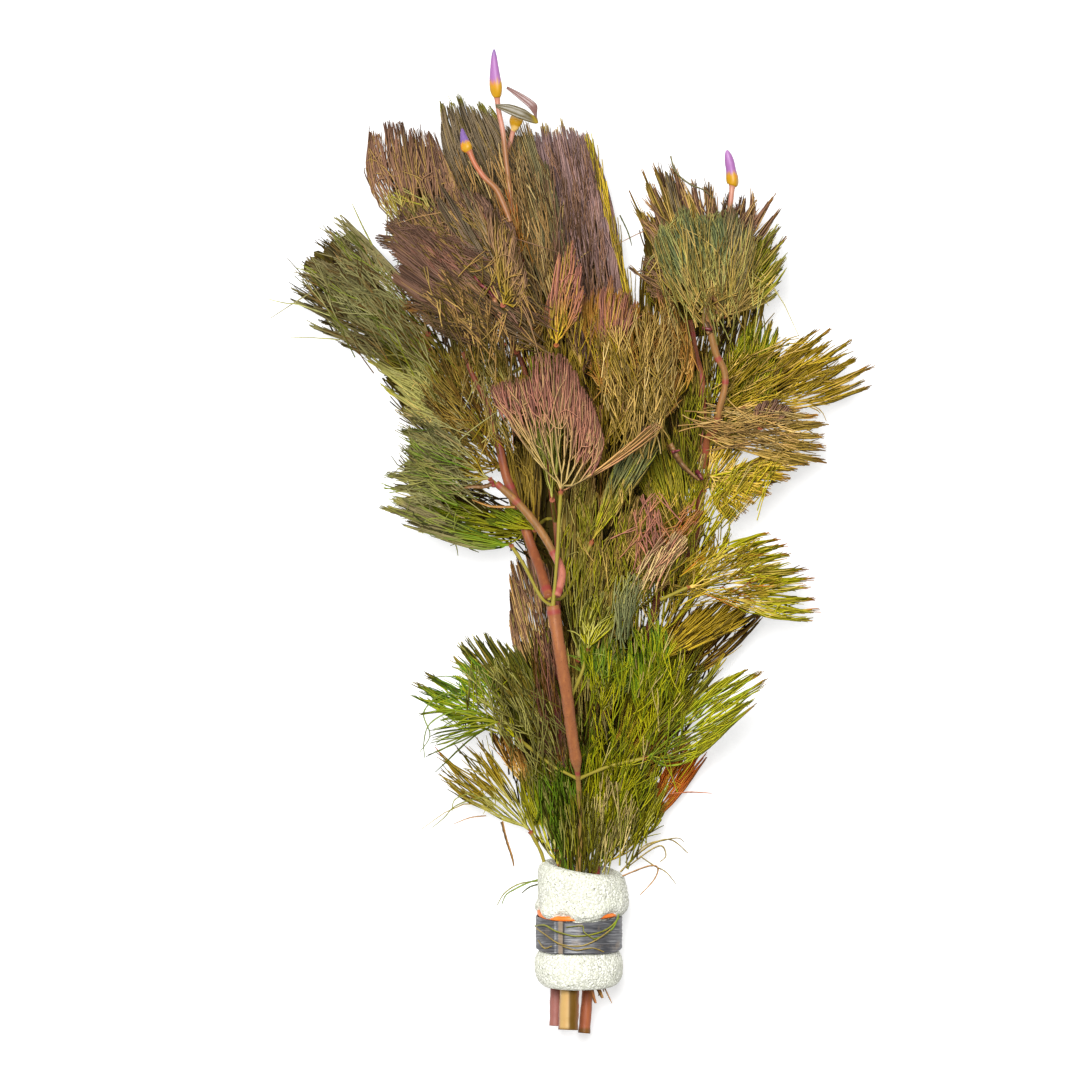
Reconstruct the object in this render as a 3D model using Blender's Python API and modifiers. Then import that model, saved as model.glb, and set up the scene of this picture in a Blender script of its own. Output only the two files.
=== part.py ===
"""Forked fanwort: a cut bunch of stems, forked fan leaves and flower buds, held by a foam
collar, a rubber band and a lead strip. The bunch lies on its back: cut ends towards -Y, flower
tips towards +Y, front face up. Leaves and stems keep to thin layers, so none runs into another."""

import math
from collections import namedtuple

import bmesh
import bpy
from mathutils import Vector

MM = 0.001

# Layers: number 0 is the front face, LOWEST_LAYER lies flat on the surface (millimetres)
LOWEST_LAYER = 11.0
SHEET_THICKNESS = 0.7
LOWEST_SHEET_Z = SHEET_THICKNESS / 2 + 0.05
COLLAR_MOUTH_Y = -84.0
MOUTH_LOW_Z = 5.2
MOUTH_TOP_Z = 15.6
BUNCH_TOP_Z = 43.0
TIP_DROP = 9.0
HALF_WIDTH = 76.0
SIDE_DROP = 0.42

# Leaves
STALK_WIDTH = 1.1
SLIT_OPENING = (0.0, 0.0, 0.10, 0.22)
BLADE_ROWS = (0.13, 0.42, 0.72, 1.0)

# Stems
STEM_STEP = 7.0
STEM_SIDES_RESOLUTION = 2
BUD_SIDES_RESOLUTION = 1

# Tie: its axis runs along Y through this point
AXIS_X = 1.1
AXIS_Z = 10.9
TIE_SLANT = 0.16
STRIP_INNER_RADIUS = 10.1
STRIP_THICKNESS = 0.6
STRIP_TOP_Y = -93.6
STRIP_WIDTH = 8.6
STRIP_OVERLAP_DEG = 22.0
STRIP_SEAM_DEG = 118.0
BAND_RADIUS = 10.2
BAND_THICKNESS = 1.1
BAND_Y = -92.7
TIE_STEPS = 24
GAP = 0.3

Leaf = namedtuple("Leaf", "name tone layer base palm tips spread bend lobes droop")
Stem = namedtuple("Stem", "name layers points")

TONES = {
    "mauve": (0.17, 0.11, 0.11),
    "pink": (0.36, 0.17, 0.15),
    "grey": (0.12, 0.14, 0.10),
    "green": (0.14, 0.22, 0.03),
    "dark": (0.05, 0.08, 0.03),
    "olive": (0.22, 0.19, 0.04),
    "yellow": (0.35, 0.33, 0.04),
    "orange": (0.42, 0.18, 0.05),
}

# Rows across the folded floating leaf, from one tip over the fold to the other: left, right, layer
FLOATING_LEAF_ROWS = (
    ((-19.8, 109.2), (-19.6, 108.6), 2.2),
    ((-16.3, 109.3), (-16.4, 106.9), 2.2),
    ((-12.6, 108.1), (-12.9, 105.4), 2.2),
    ((-10.0, 106.5), (-9.2, 104.6), 1.9),
    ((-9.4, 109.1), (-11.0, 108.0), 1.2),
    ((-12.6, 111.6), (-13.8, 110.6), 1.1),
    ((-16.8, 113.7), (-17.0, 113.3), 1.1),
)

# Each leaf: name, tone, layer, foot of the stalk, palm, three points of its ragged end, how wide
# the rays spread, their bend, number of lobes, layers it droops. Places are in millimetres.
LEAVES = [
    Leaf("centre_front_leaf", "pink", 0.4, (-4.1, -0.9), (-3.4, 12.6),
         ((-22.6, 41.1), (-8.6, 44.9), (7.9, 27.9)), 0.35, (0, 0), 6, 0),
    Leaf("shoot_leaf_right", "mauve", 0.4, (-17.4, 55.4), (-17.9, 59.1),
         ((-22.1, 84.6), (-14.9, 78.9), (-11.6, 63.9)), 0.35, (0, 0), 4, 0),
    Leaf("left_front_leaf", "olive", 1.2, (-7.4, -14.6), (-15.9, -0.9),
         ((-47.9, 7.9), (-40.6, 3.4), (-32.1, 0.1)), 0.3, (0, -1.5), 3, 0),
    Leaf("lower_right_leaf", "yellow", 1.6, (21.4, -14.6), (28.4, -11.4),
         ((47.4, 2.9), (58.4, -7.6), (60.9, -20.6)), 0.35, (0, 0), 6, 1.6),
    Leaf("shoot_leaf_up", "mauve", 1.8, (-17.9, 60.4), (-19.4, 62.9),
         ((-47.6, 79.9), (-33.6, 86.9), (-20.6, 83.9)), 0.45, (0, 0), 5, 0),
    Leaf("low_right_leaf", "green", 2, (0.9, -58.6), (17.9, -54.1),
         ((44.9, -31.4), (48.6, -36.1), (44.4, -43.6)), 1.1, (0, -2), 4, 1),
    Leaf("tuft_leaf", "orange", 2.6, (-3.6, 40.4), (-4.6, 49.1),
         ((-6.6, 69.9), (-1.1, 76.1), (1.9, 64.9)), 0.7, (0, 0), 3, 0),
    Leaf("shoot_leaf_low", "mauve", 2.8, (-17.4, 55.4), (-20.6, 59.1),
         ((-44.1, 62.4), (-37.6, 53.4), (-26.1, 49.9)), 0.35, (0, -1), 4, 0),
    Leaf("low_left_leaf", "green", 3, (0.1, -58.9), (-13.9, -49.4),
         ((-42.6, -37.6), (-37.6, -31.6), (-26.6, -24.6)), 0.35, (0, 1), 5, 0.8),
    Leaf("bright_leaf", "green", 3, (16.4, -57.1), (18.6, -50.6),
         ((14.4, -20.1), (20.9, -18.6), (24.9, -24.6)), 0.6, (1, 0), 4, 0),
    Leaf("right_shoot_leaf", "grey", 3.2, (33.9, 55.9), (35.4, 59.9),
         ((21.9, 79.9), (32.9, 83.4), (44.4, 73.9)), 0.5, (0, 0), 5, 0),
    Leaf("right_mid_leaf", "olive", 3.2, (33.4, 22.4), (35.4, 25.4),
         ((48.4, 34.9), (64.4, 30.9), (61.9, 19.4)), 0.35, (0, 1.5), 5, 1.2),
    Leaf("centre_right_leaf", "dark", 3.4, (-4.6, -14.9), (4.4, 0.1),
         ((5.4, 19.9), (16.4, 27.4), (23.4, 27.4)), 0.3, (0, 0), 4, 0),
    Leaf("left_mid_leaf", "green", 3.4, (-14.4, 10.4), (-21.1, 15.6),
         ((-43.9, 27.9), (-49.1, 16.9), (-46.6, 7.4)), 0.3, (0, 0), 5, 1.2),
    Leaf("shoot_leaf_left", "mauve", 3.8, (-18.6, 60.4), (-21.1, 62.4),
         ((-48.1, 79.4), (-45.6, 69.9), (-43.6, 63.4)), 0.5, (0, 1.5), 4, 0),
    Leaf("green_fan_leaf", "green", 4, (2.6, -57.1), (7.1, -42.6),
         ((0.9, -24.6), (9.4, -22.6), (17.4, -29.6)), 0.4, (0, 0), 5, 0),
    Leaf("right_shoot_side_leaf", "green", 4.2, (34.4, 55.4), (36.9, 58.9),
         ((43.4, 78.9), (51.4, 73.4), (50.4, 60.4)), 0.35, (0, 0), 4, 0),
    Leaf("right_low_leaf", "yellow", 4.2, (32.1, 15.4), (33.4, 16.4),
         ((58.4, 18.9), (49.4, 11.9), (36.9, 3.4)), 0.2, (0, 1), 5, 0),
    Leaf("lowest_left_leaf", "olive", 4.4, (-5.6, -81.1), (-11.1, -72.4),
         ((-35.6, -66.6), (-36.1, -52.6), (-25.1, -46.6)), 0.35, (0, 0), 5, 1.5),
    Leaf("right_high_leaf", "olive", 4.6, (37.9, 30.4), (42.1, 33.4),
         ((60.9, 53.9), (71.9, 47.4), (76.4, 37.4)), 0.3, (0, -1), 5, 2),
    Leaf("dark_small_leaf", "dark", 4.8, (-16.1, 42.4), (-14.6, 47.4),
         ((-18.6, 62.4), (-10.1, 66.4), (-7.4, 52.9)), 0.4, (0, 0), 3, 0),
    Leaf("right_centre_leaf", "olive", 4.8, (23.4, 25.4), (21.9, 30.4),
         ((3.9, 49.9), (15.4, 59.9), (30.4, 52.9)), 0.45, (0, 0), 6, 0),
    Leaf("lower_right_shade_leaf", "olive", 4.8, (16.4, -39.6), (21.9, -29.6),
         ((31.4, -11.1), (41.9, -12.1), (47.4, -17.6)), 0.3, (0, 0), 4, 0),
    Leaf("inner_strip_leaf", "pink", 5, (6.4, -29.6), (11.9, -19.6),
         ((12.4, 10.4), (19.4, 13.4), (28.9, 0.4)), 0.5, (0, 0), 4, 0),
    Leaf("collar_leaf_left", "dark", 5, (-0.6, -82.6), (-2.1, -77.1),
         ((-8.6, -54.6), (-2.1, -49.6), (4.4, -54.6)), 0.5, (0, 0), 4, 0),
    Leaf("top_left_leaf", "mauve", 5.2, (-23.6, 62.9), (-28.1, 69.9),
         ((-51.9, 104.9), (-42.6, 105.1), (-33.1, 98.9)), 1, (-2.5, -1), 5, 0),
    Leaf("right_shoot_left_leaf", "mauve", 5.2, (32.9, 55.4), (32.4, 60.4),
         ((13.9, 64.9), (12.9, 77.4), (22.4, 82.9)), 0.35, (0, 0), 4, 0),
    Leaf("far_left_leaf", "grey", 5.6, (-30.6, 42.4), (-36.6, 51.9),
         ((-74.4, 68.4), (-64.1, 76.1), (-54.4, 81.9)), 0.6, (2.5, 2), 5, 1.5),
    Leaf("right_upright_leaf", "green", 5.6, (37.4, 29.1), (40.6, 33.4),
         ((41.4, 52.9), (46.9, 54.9), (52.9, 52.9)), 0.35, (0, 0), 4, 0),
    Leaf("low_left_shade_leaf", "dark", 6, (-3.6, -57.1), (-7.4, -47.1),
         ((-30.6, -32.6), (-25.1, -24.6), (-6.6, -27.6)), 0.35, (0, 0), 5, 0),
    Leaf("brown_strip_leaf", "mauve", 6, (-3.6, -77.1), (-8.6, -67.6),
         ((-23.1, -45.6), (-16.6, -46.6), (-11.1, -57.1)), 0.5, (0, 0), 3, 0),
    Leaf("stem_side_leaf", "dark", 6, (0.1, -39.6), (0.9, -29.6),
         ((-3.6, 10.4), (2.9, 17.9), (11.4, -4.6)), 0.6, (0, 0), 4, 0),
    Leaf("collar_leaf_right", "grey", 6, (6.4, -82.6), (6.9, -77.1),
         ((6.4, -52.1), (16.4, -49.6), (21.4, -62.1)), 0.5, (0, 0), 5, 0),
    Leaf("centre_top_leaf", "pink", 6.2, (8.9, 35.4), (7.9, 42.4),
         ((1.4, 60.4), (10.4, 65.9), (16.9, 60.4)), 0.5, (0, 0), 4, 0),
    Leaf("right_back_leaf", "mauve", 6.2, (34.9, 52.4), (34.4, 63.4),
         ((14.4, 84.4), (33.4, 92.4), (52.4, 75.9)), 0.3, (0, 0), 6, 0),
    Leaf("top_centre_leaf", "grey", 7.4, (-11.1, 60.4), (-12.6, 69.9),
         ((-34.4, 112.1), (-27.1, 112.4), (-17.6, 108.4)), 1.1, (-0.5, 0), 4, 0),
    Leaf("left_upper_leaf", "olive", 7.6, (-18.6, 17.9), (-26.1, 27.9),
         ((-43.1, 33.9), (-51.6, 43.9), (-41.1, 49.4)), 0.35, (0, 0), 4, 0),
    Leaf("orange_leaf", "orange", 8.2, (11.4, -72.1), (17.6, -71.6),
         ((22.9, -52.1), (34.4, -48.1), (34.4, -62.1)), 0.3, (0, 0), 4, 1.5),
    Leaf("top_wide_leaf", "mauve", 8.4, (7.4, 42.4), (6.4, 51.4),
         ((-10.6, 104.4), (-0.1, 105.1), (6.9, 97.9)), 1.5, (2, 2.5), 6, 0),
    Leaf("far_left_low_leaf", "green", 8.6, (-31.1, 40.4), (-36.6, 47.9),
         ((-58.1, 48.9), (-69.1, 57.4), (-76.1, 69.9)), 0.35, (-1, -2), 5, 1.6),
    Leaf("back_leaf_left", "dark", 9, (-11.1, 15.4), (-13.6, 30.4),
         ((-38.6, 70.4), (-26.1, 81.6), (-11.1, 75.4)), 0.5, (0, 0), 6, 2),
    Leaf("back_leaf_right", "dark", 9, (23.9, -4.6), (26.4, 15.4),
         ((16.4, 70.4), (31.4, 77.9), (48.9, 65.4)), 0.5, (0, 0), 6, 2),
    Leaf("behind_stem_leaf", "olive", 9.4, (-3.6, -44.6), (-7.4, -37.1),
         ((-16.6, -17.1), (-14.6, -3.6), (-7.1, -4.6)), 0.7, (0, 0), 4, 0),
    Leaf("back_leaf_centre", "dark", 10, (6.4, -24.6), (6.4, -4.6),
         ((-11.1, 40.4), (3.9, 52.9), (21.4, 40.4)), 0.5, (0, 0), 6, 1),
    Leaf("back_leaf_low", "dark", 11, (6.4, -79.6), (6.4, -64.6),
         ((-8.6, -29.6), (6.4, -19.6), (28.9, -34.6)), 0.5, (0, 0), 6, 0),
]

# Each stem: name, its layers from foot to tip, then (x, y, radius) along it in millimetres
STEMS = [
    Stem("front_stem", (1.0, 0.8, 0.6, 0.5, 0.5), (
        (-1.6, -122.1, 2), (-1.1, -110.9, 1.88), (-0.1, -97.1, 1.75), (0.9, -82.1, 1.6),
        (1.4, -73.4, 1.4), (0.9, -59.1, 1.55), (-0.6, -48.4, 1.5), (-2.1, -37.1, 1.6),
        (-4.1, -24.6, 1.6), (-5.4, -16.1, 1.75),
    )),
    Stem("front_left_branch", (1.9, 4.4, 4.9, 4.9, 4.9), (
        (-6.4, -14.1, 1.35), (-8.4, -7.6, 1.3), (-10.6, -1.6, 1.25), (-14.1, 8.6, 1.25),
        (-17.1, 16.4, 1.15), (-18.9, 24.1, 1.05), (-21.6, 34.1, 1), (-25.1, 40.9, 0.9),
        (-27.9, 47.4, 0.75),
    )),
    Stem("front_middle_branch", (0.6, 1.7, 1.9), (
        (-4.6, -13.6, 1.15), (-3.1, -8.1, 1.15), (-5.4, -2.6, 1.05), (-9.1, 3.6, 1.1),
        (-14.1, 9.6, 1.1), (-19.6, 14.6, 0.9),
    )),
    Stem("left_stem", (8.0, 7.5, 7.5, 7.5), (
        (-4.9, -121.1, 1.12), (-4.6, -110.9, 1.12), (-4.1, -97.1, 1.12), (-3.1, -82.1, 1.1),
        (-3.1, -64.6, 1.05), (-4.1, -49.6, 1.1), (-4.4, -32.1, 1.1), (-4.1, -14.6, 1.07),
        (-4.4, 0.4, 1.1), (-5.9, 12.9, 1.1), (-8.6, 27.9, 1), (-12.6, 42.9, 1),
        (-16.6, 52.9, 0.9),
    )),
    Stem("right_stem", (8.0, 7.5, 7.5, 7.5, 6.5), (
        (2.4, -122.9, 1.25), (3.4, -110.9, 1.25), (4.4, -97.1, 1.15), (5.4, -82.1, 1.1),
        (9.9, -59.6, 1.1), (14.9, -37.1, 1.1), (20.4, -15.1, 1.05), (23.4, -9.1, 1),
        (29.9, -0.6, 1), (30.9, 6.9, 1), (32.6, 16.9, 1.15),
    )),
    Stem("right_shoot_stem", (5.0, 2.2, 1.8, 1.7), (
        (32.9, 18.4, 1.05), (33.1, 25.4, 1), (35.4, 28.4, 1), (36.1, 32.6, 1.05), (37.6, 38.6, 1),
        (37.4, 42.9, 1), (35.4, 46.9, 1.1), (33.9, 53.1, 1.15), (32.9, 55.9, 1),
        (33.4, 59.9, 0.9),
    )),
    Stem("right_back_branch", (6.4, 6.4), (
        (31.4, 19.9, 1), (32.1, 25.4, 1), (31.9, 39.6, 0.95), (30.4, 46.4, 0.9),
        (28.9, 55.4, 0.75),
    )),
]

BUDS = [
    Stem("top_bud", (4.2, 3.9, 3.0), (
        (-15.4, 77.4, 0.6), (-16.1, 86.6, 0.65), (-17.1, 95.4, 0.65), (-17.9, 102.4, 0.65),
        (-18.9, 107.4, 0.65), (-19.3, 110.6, 0.75), (-19.4, 111.8, 1.3), (-19.5, 113.6, 1.62),
        (-19.8, 116.1, 1.4), (-20, 118.9, 1.05), (-20.1, 121.4, 0.7), (-20.1, 123, 0.25),
    )),
    Stem("left_bud", (2.0, 1.9, 1.9), (
        (-16.1, 79.9, 0.6), (-17.6, 83.9, 0.75), (-19.6, 88.1, 0.8), (-22.6, 91.1, 0.7),
        (-24.9, 94.4, 0.65), (-26.1, 97.1, 0.75), (-26.8, 98.4, 1.45), (-27.4, 100.1, 1.15),
        (-27.9, 101.9, 0.7), (-28.1, 103.2, 0.25),
    )),
    Stem("right_bud", (4.7, 4.7, 4.2), (
        (37.9, 75.4, 0.6), (38.6, 81.6, 0.65), (39.1, 85.4, 0.65), (39.4, 88.4, 0.75),
        (39.6, 89.4, 1.4), (39.5, 90.9, 1.55), (39.2, 92.9, 1.3), (38.8, 94.9, 1.23),
        (38.4, 96.6, 0.9), (38.1, 97.8, 0.35),
    )),
    Stem("faded_flower", (5.9, 5.0), (
        (-17.6, 91.4, 0.55), (-16.9, 96.6, 0.55), (-16.1, 99.6, 0.6), (-15.4, 102.4, 0.65),
        (-14.9, 103.6, 1.3), (-14.6, 105, 1.05), (-14.4, 105.8, 0.5),
    )),
]


def smooth(value):
    """Ease from 0 to 1 as value runs from 0 to 1."""
    value = min(1.0, max(0.0, value))
    return value * value * (3.0 - 2.0 * value)


def layer_height(x, y, layer):
    """Height of a layer over the surface at (x, y), all in millimetres."""
    opened = smooth((y - COLLAR_MOUTH_Y) / 62.0)
    low = MOUTH_LOW_Z + (LOWEST_SHEET_Z - MOUTH_LOW_Z) * smooth((y - COLLAR_MOUTH_Y) / 22.0)
    top = MOUTH_TOP_Z + (BUNCH_TOP_Z - MOUTH_TOP_Z) * opened
    top -= TIP_DROP * smooth((y - 55.0) / 70.0)
    side = 1.0 - SIDE_DROP * min(1.0, (x / HALF_WIDTH) ** 2)
    return low + (top - low) * side * (1.0 - layer / LOWEST_LAYER)


def through(points, t):
    """Point at t (0 to 1) on a smooth curve through the listed points."""
    spans = len(points) - 1
    index = min(int(t * spans), spans - 1)
    f = t * spans - index
    p1 = points[index]
    p2 = points[index + 1]
    p0 = points[max(index - 1, 0)]
    p3 = points[min(index + 2, spans)]
    out = []
    for a, b, c, d in zip(p0, p1, p2, p3):
        out.append(
            0.5 * (2 * b + (c - a) * f + (2 * a - 5 * b + 4 * c - d) * f * f
                   + (3 * b - a - 3 * c + d) * f ** 3)
        )
    return out


def tip_point(leaf, v):
    """Point on the leaf's ragged end, from its first tip (v = 0) to its last (v = 1)."""
    first, middle, last = leaf.tips
    return [
        a * (1 - v) * (1 - 2 * v) + 4 * m * v * (1 - v) + b * v * (2 * v - 1)
        for a, m, b in zip(first, middle, last)
    ]


def blade_point(leaf, u, v):
    """Point of the blade: u from palm to tip, v across the fan. Rays spread, then run together."""
    tip = tip_point(leaf, v)
    point = []
    for axis in range(2):
        palm = leaf.palm[axis]
        chord = leaf.tips[2][axis] - leaf.tips[0][axis]
        control = palm + 0.42 * (tip[axis] - palm) + leaf.spread * chord * (v - 0.5)
        control += leaf.bend[axis]
        point.append((1 - u) ** 2 * palm + 2 * u * (1 - u) * control + u * u * tip[axis])
    return point


def on_layer(point, layer):
    x, y = point[0], point[1]
    return Vector((x * MM, y * MM, layer_height(x, y, layer) * MM))


def material(name, colour, roughness, metallic=0.0):
    made = bpy.data.materials.new(name)
    made.use_nodes = True
    shader = made.node_tree.nodes["Principled BSDF"]
    shader.inputs["Base Color"].default_value = (*colour, 1.0)
    shader.inputs["Roughness"].default_value = roughness
    shader.inputs["Metallic"].default_value = metallic
    return made


def new_object(name, data, collection, paint):
    made = bpy.data.objects.new(name, data)
    collection.objects.link(made)
    made.data.materials.append(paint)
    return made


def as_mesh(obj):
    """Replace a curve or a modified object by its plain mesh, with loose caps welded."""
    bpy.context.view_layer.update()
    graph = bpy.context.evaluated_depsgraph_get()
    mesh = bpy.data.meshes.new_from_object(obj.evaluated_get(graph))
    mesh.transform(obj.matrix_world)
    welded = bmesh.new()
    welded.from_mesh(mesh)
    bmesh.ops.remove_doubles(welded, verts=welded.verts, dist=1e-6)
    bmesh.ops.recalc_face_normals(welded, faces=welded.faces)
    welded.to_mesh(mesh)
    welded.free()
    name = obj.name
    collection = obj.users_collection[0]
    bpy.data.objects.remove(obj)
    made = bpy.data.objects.new(name, mesh)
    collection.objects.link(made)
    return made


def make_leaf(leaf, collection, paint):
    """One leaf: a thin stalk, then a fan parted into lobes by slits that open towards the tips."""
    sheet = bmesh.new()
    base = Vector(leaf.base)
    palm = Vector(leaf.palm)
    along = (palm - base).normalized()
    side = Vector((-along.y, along.x)) * STALK_WIDTH / 2
    across = Vector(leaf.tips[0]) - Vector(leaf.tips[2])
    if across.dot(side) < 0:
        side = -side
    rows = []
    for step in range(3):
        centre = base.lerp(palm, step / 2)
        rows.append([
            sheet.verts.new(on_layer(centre + side, leaf.layer)),
            sheet.verts.new(on_layer(centre - side, leaf.layer)),
        ])
    for lower, upper in zip(rows, rows[1:]):
        sheet.faces.new((lower[0], lower[1], upper[1], upper[0]))
    neck = rows[-1]

    edges = []
    for row, u in enumerate(BLADE_ROWS):
        line = []
        for lobe in range(leaf.lobes):
            slit = SLIT_OPENING[row]
            last_row = row == len(BLADE_ROWS) - 1
            notch = 0.05 * ((lobe * 7 + len(leaf.name)) % 3) if last_row else 0.0
            pair = []
            for end in (0, 1):
                outside = (lobe + end) in (0, leaf.lobes)
                shift = 0.0 if outside else slit * (0.5 if end == 0 else -0.5)
                if not slit and end == 0 and lobe:
                    pair.append(line[-1][1])
                    continue
                v = (lobe + end + shift) / leaf.lobes
                point = Vector(blade_point(leaf, u - notch, v))
                point += side * (1 - 2 * v) * (1 - u)
                layer = leaf.layer + leaf.droop * u * u
                pair.append(sheet.verts.new(on_layer(point, layer)))
            line.append(pair)
        edges.append(line)
    for lower, upper in zip(edges, edges[1:]):
        for (a, b), (d, c) in zip(lower, upper):
            sheet.faces.new((a, b, c, d))
    middle = leaf.lobes // 2
    for lobe, (a, b) in enumerate(edges[0]):
        if lobe == middle:
            sheet.faces.new((neck[0], neck[1], b, a))
        else:
            sheet.faces.new((neck[0] if lobe < middle else neck[1], b, a))
    bmesh.ops.recalc_face_normals(sheet, faces=sheet.faces)
    mesh = bpy.data.meshes.new(leaf.name)
    sheet.to_mesh(mesh)
    sheet.free()
    made = new_object(leaf.name, mesh, collection, paint)
    solid = made.modifiers.new("thickness", "SOLIDIFY")
    solid.thickness = SHEET_THICKNESS * MM
    solid.offset = 0.0
    return made


def make_stem(stem, collection, paint, resolution):
    """A round stem, branch or bud along a smooth curve; each point gives x, y and its radius."""
    length = sum(math.dist(a[:2], b[:2]) for a, b in zip(stem.points, stem.points[1:]))
    if resolution == STEM_SIDES_RESOLUTION:
        steps = max(4, round(length / STEM_STEP))
    else:
        steps = len(stem.points) - 1
    curve = bpy.data.curves.new(stem.name, "CURVE")
    curve.dimensions = "3D"
    curve.bevel_depth = MM
    curve.bevel_resolution = resolution
    curve.use_fill_caps = True
    line = curve.splines.new("POLY")
    line.points.add(steps)
    for step, point in enumerate(line.points):
        t = step / steps
        x, y, radius = through(stem.points, t)
        layer = through([(value,) for value in stem.layers], t)[0]
        point.co = (*on_layer((x, y), layer), 1.0)
        point.radius = radius
    made = new_object(stem.name, curve, collection, paint)
    made = as_mesh(made)
    made.data.shade_smooth()
    return made


def make_floating_leaf(collection, paint):
    """The small narrow leaf by the top bud, folded back over itself."""
    sheet = bmesh.new()
    rows = []
    for left, right, layer in FLOATING_LEAF_ROWS:
        rows.append([
            sheet.verts.new(on_layer(left, layer)),
            sheet.verts.new(on_layer(right, layer)),
        ])
    for lower, upper in zip(rows, rows[1:]):
        sheet.faces.new((lower[0], lower[1], upper[1], upper[0]))
    mesh = bpy.data.meshes.new("floating_leaf")
    sheet.to_mesh(mesh)
    sheet.free()
    made = new_object("floating_leaf", mesh, collection, paint)
    solid = made.modifiers.new("thickness", "SOLIDIFY")
    solid.thickness = SHEET_THICKNESS * MM
    solid.offset = 0.0
    return made


def slanted(obj):
    """Lean the tie's rings, so that their upper side sits nearer the cut ends."""
    for vertex in obj.data.vertices:
        vertex.co.y -= TIE_SLANT * (vertex.co.z - AXIS_Z * MM)


def make_collar(collection, cutters, paint):
    """Foam sleeve: a turned profile pinched under the strip, pressed flat where it rests."""
    profile = (
        (7.4, -82.8), (8.7, -81.7), (10.4, -82.6), (11.3, -85.0), (11.3, -88.6), (10.4, -91.0),
        (9.3, -91.7), (9.3, -93.4), (9.75, -93.9), (9.75, -101.6), (10.2, -102.6),
        (11.0, -103.9), (11.1, -107.0), (10.2, -109.8), (8.7, -110.9), (7.4, -110.2),
    )
    mesh = bpy.data.meshes.new("foam_collar")
    points = [(radius * MM, 0.0, y * MM) for radius, y in profile]
    count = len(points)
    mesh.from_pydata(points, [(i, (i + 1) % count) for i in range(count)], [])
    made = new_object("foam_collar", mesh, collection, paint)
    turn = made.modifiers.new("turn", "SCREW")
    turn.steps = TIE_STEPS
    turn.render_steps = TIE_STEPS
    turn.use_merge_vertices = True
    turn.merge_threshold = 0.00001
    made.rotation_euler.x = -math.pi / 2
    made.location = (AXIS_X * MM, 0.0, AXIS_Z * MM)
    made = as_mesh(made)
    slanted(made)
    block = bmesh.new()
    bmesh.ops.create_cube(block, size=0.1)
    mesh = bpy.data.meshes.new("rest_plane")
    block.to_mesh(mesh)
    block.free()
    cutter = bpy.data.objects.new("rest_plane", mesh)
    cutters.objects.link(cutter)
    cutter.location = (0.0, -0.1, -0.05)
    cutter.hide_render = True
    cutter.display_type = "WIRE"
    cut = made.modifiers.new("rest", "BOOLEAN")
    cut.operation = "DIFFERENCE"
    cut.solver = "EXACT"
    cut.object = cutter
    return made


def make_strip(collection, paint):
    """Lead strip: a band of even thickness whose end laps over its start."""
    curve = bpy.data.curves.new("lead_strip", "CURVE")
    curve.dimensions = "2D"
    curve.fill_mode = "BOTH"
    curve.extrude = STRIP_WIDTH / 2 * MM
    sweep = 360.0 + STRIP_OVERLAP_DEG
    steps = 44
    inner = []
    for step in range(steps + 1):
        turned = sweep * step / steps
        lift = (STRIP_THICKNESS + GAP) * smooth((turned - 300.0) / 60.0)
        inner.append((math.radians(STRIP_SEAM_DEG + turned), STRIP_INNER_RADIUS + lift))
    outline = [(a, r) for a, r in inner]
    outline += [(a, r + STRIP_THICKNESS) for a, r in reversed(inner)]
    line = curve.splines.new("POLY")
    line.points.add(len(outline) - 1)
    line.use_cyclic_u = True
    for point, (angle, radius) in zip(line.points, outline):
        point.co = (radius * math.cos(angle) * MM, -radius * math.sin(angle) * MM, 0.0, 1.0)
    made = new_object("lead_strip", curve, collection, paint)
    made.rotation_euler.x = -math.pi / 2
    made.location = (AXIS_X * MM, (STRIP_TOP_Y - STRIP_WIDTH / 2) * MM, AXIS_Z * MM)
    made = as_mesh(made)
    slanted(made)
    return made


def make_band(collection, paint):
    """Rubber band: a ring just above the strip's edge."""
    bpy.ops.mesh.primitive_torus_add(
        major_segments=TIE_STEPS,
        minor_segments=6,
        major_radius=BAND_RADIUS * MM,
        minor_radius=BAND_THICKNESS / 2 * MM,
        location=(AXIS_X * MM, BAND_Y * MM, AXIS_Z * MM),
        rotation=(math.pi / 2, 0.0, 0.0),
    )
    made = bpy.context.object
    made.name = "rubber_band"
    made.data.name = "rubber_band"
    for owner in list(made.users_collection):
        owner.objects.unlink(made)
    collection.objects.link(made)
    made.data.materials.append(paint)
    made = as_mesh(made)
    slanted(made)
    return made


def main():
    for old in list(bpy.data.objects):
        bpy.data.objects.remove(old, do_unlink=True)
    scene = bpy.context.scene
    bunch = bpy.data.collections.new("forked_fanwort")
    cutters = bpy.data.collections.new("cutters")
    scene.collection.children.link(bunch)
    scene.collection.children.link(cutters)

    make_collar(bunch, cutters, material("foam", (0.75, 0.80, 0.68), 0.9))
    make_strip(bunch, material("lead", (0.22, 0.22, 0.25), 0.45, 1.0))
    make_band(bunch, material("rubber", (0.75, 0.16, 0.02), 0.5))
    for stem in STEMS:
        paint = material(stem.name, (0.38, 0.14, 0.08), 0.45)
        make_stem(stem, bunch, paint, STEM_SIDES_RESOLUTION)
    for bud in BUDS:
        paint = material(bud.name, (0.45, 0.2, 0.4), 0.5)
        make_stem(bud, bunch, paint, BUD_SIDES_RESOLUTION)
    for leaf in LEAVES:
        paint = material(leaf.name, TONES[leaf.tone], 0.5)
        make_leaf(leaf, bunch, paint)
    make_floating_leaf(bunch, material("floating_leaf", (0.16, 0.13, 0.08), 0.5))


main()
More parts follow.
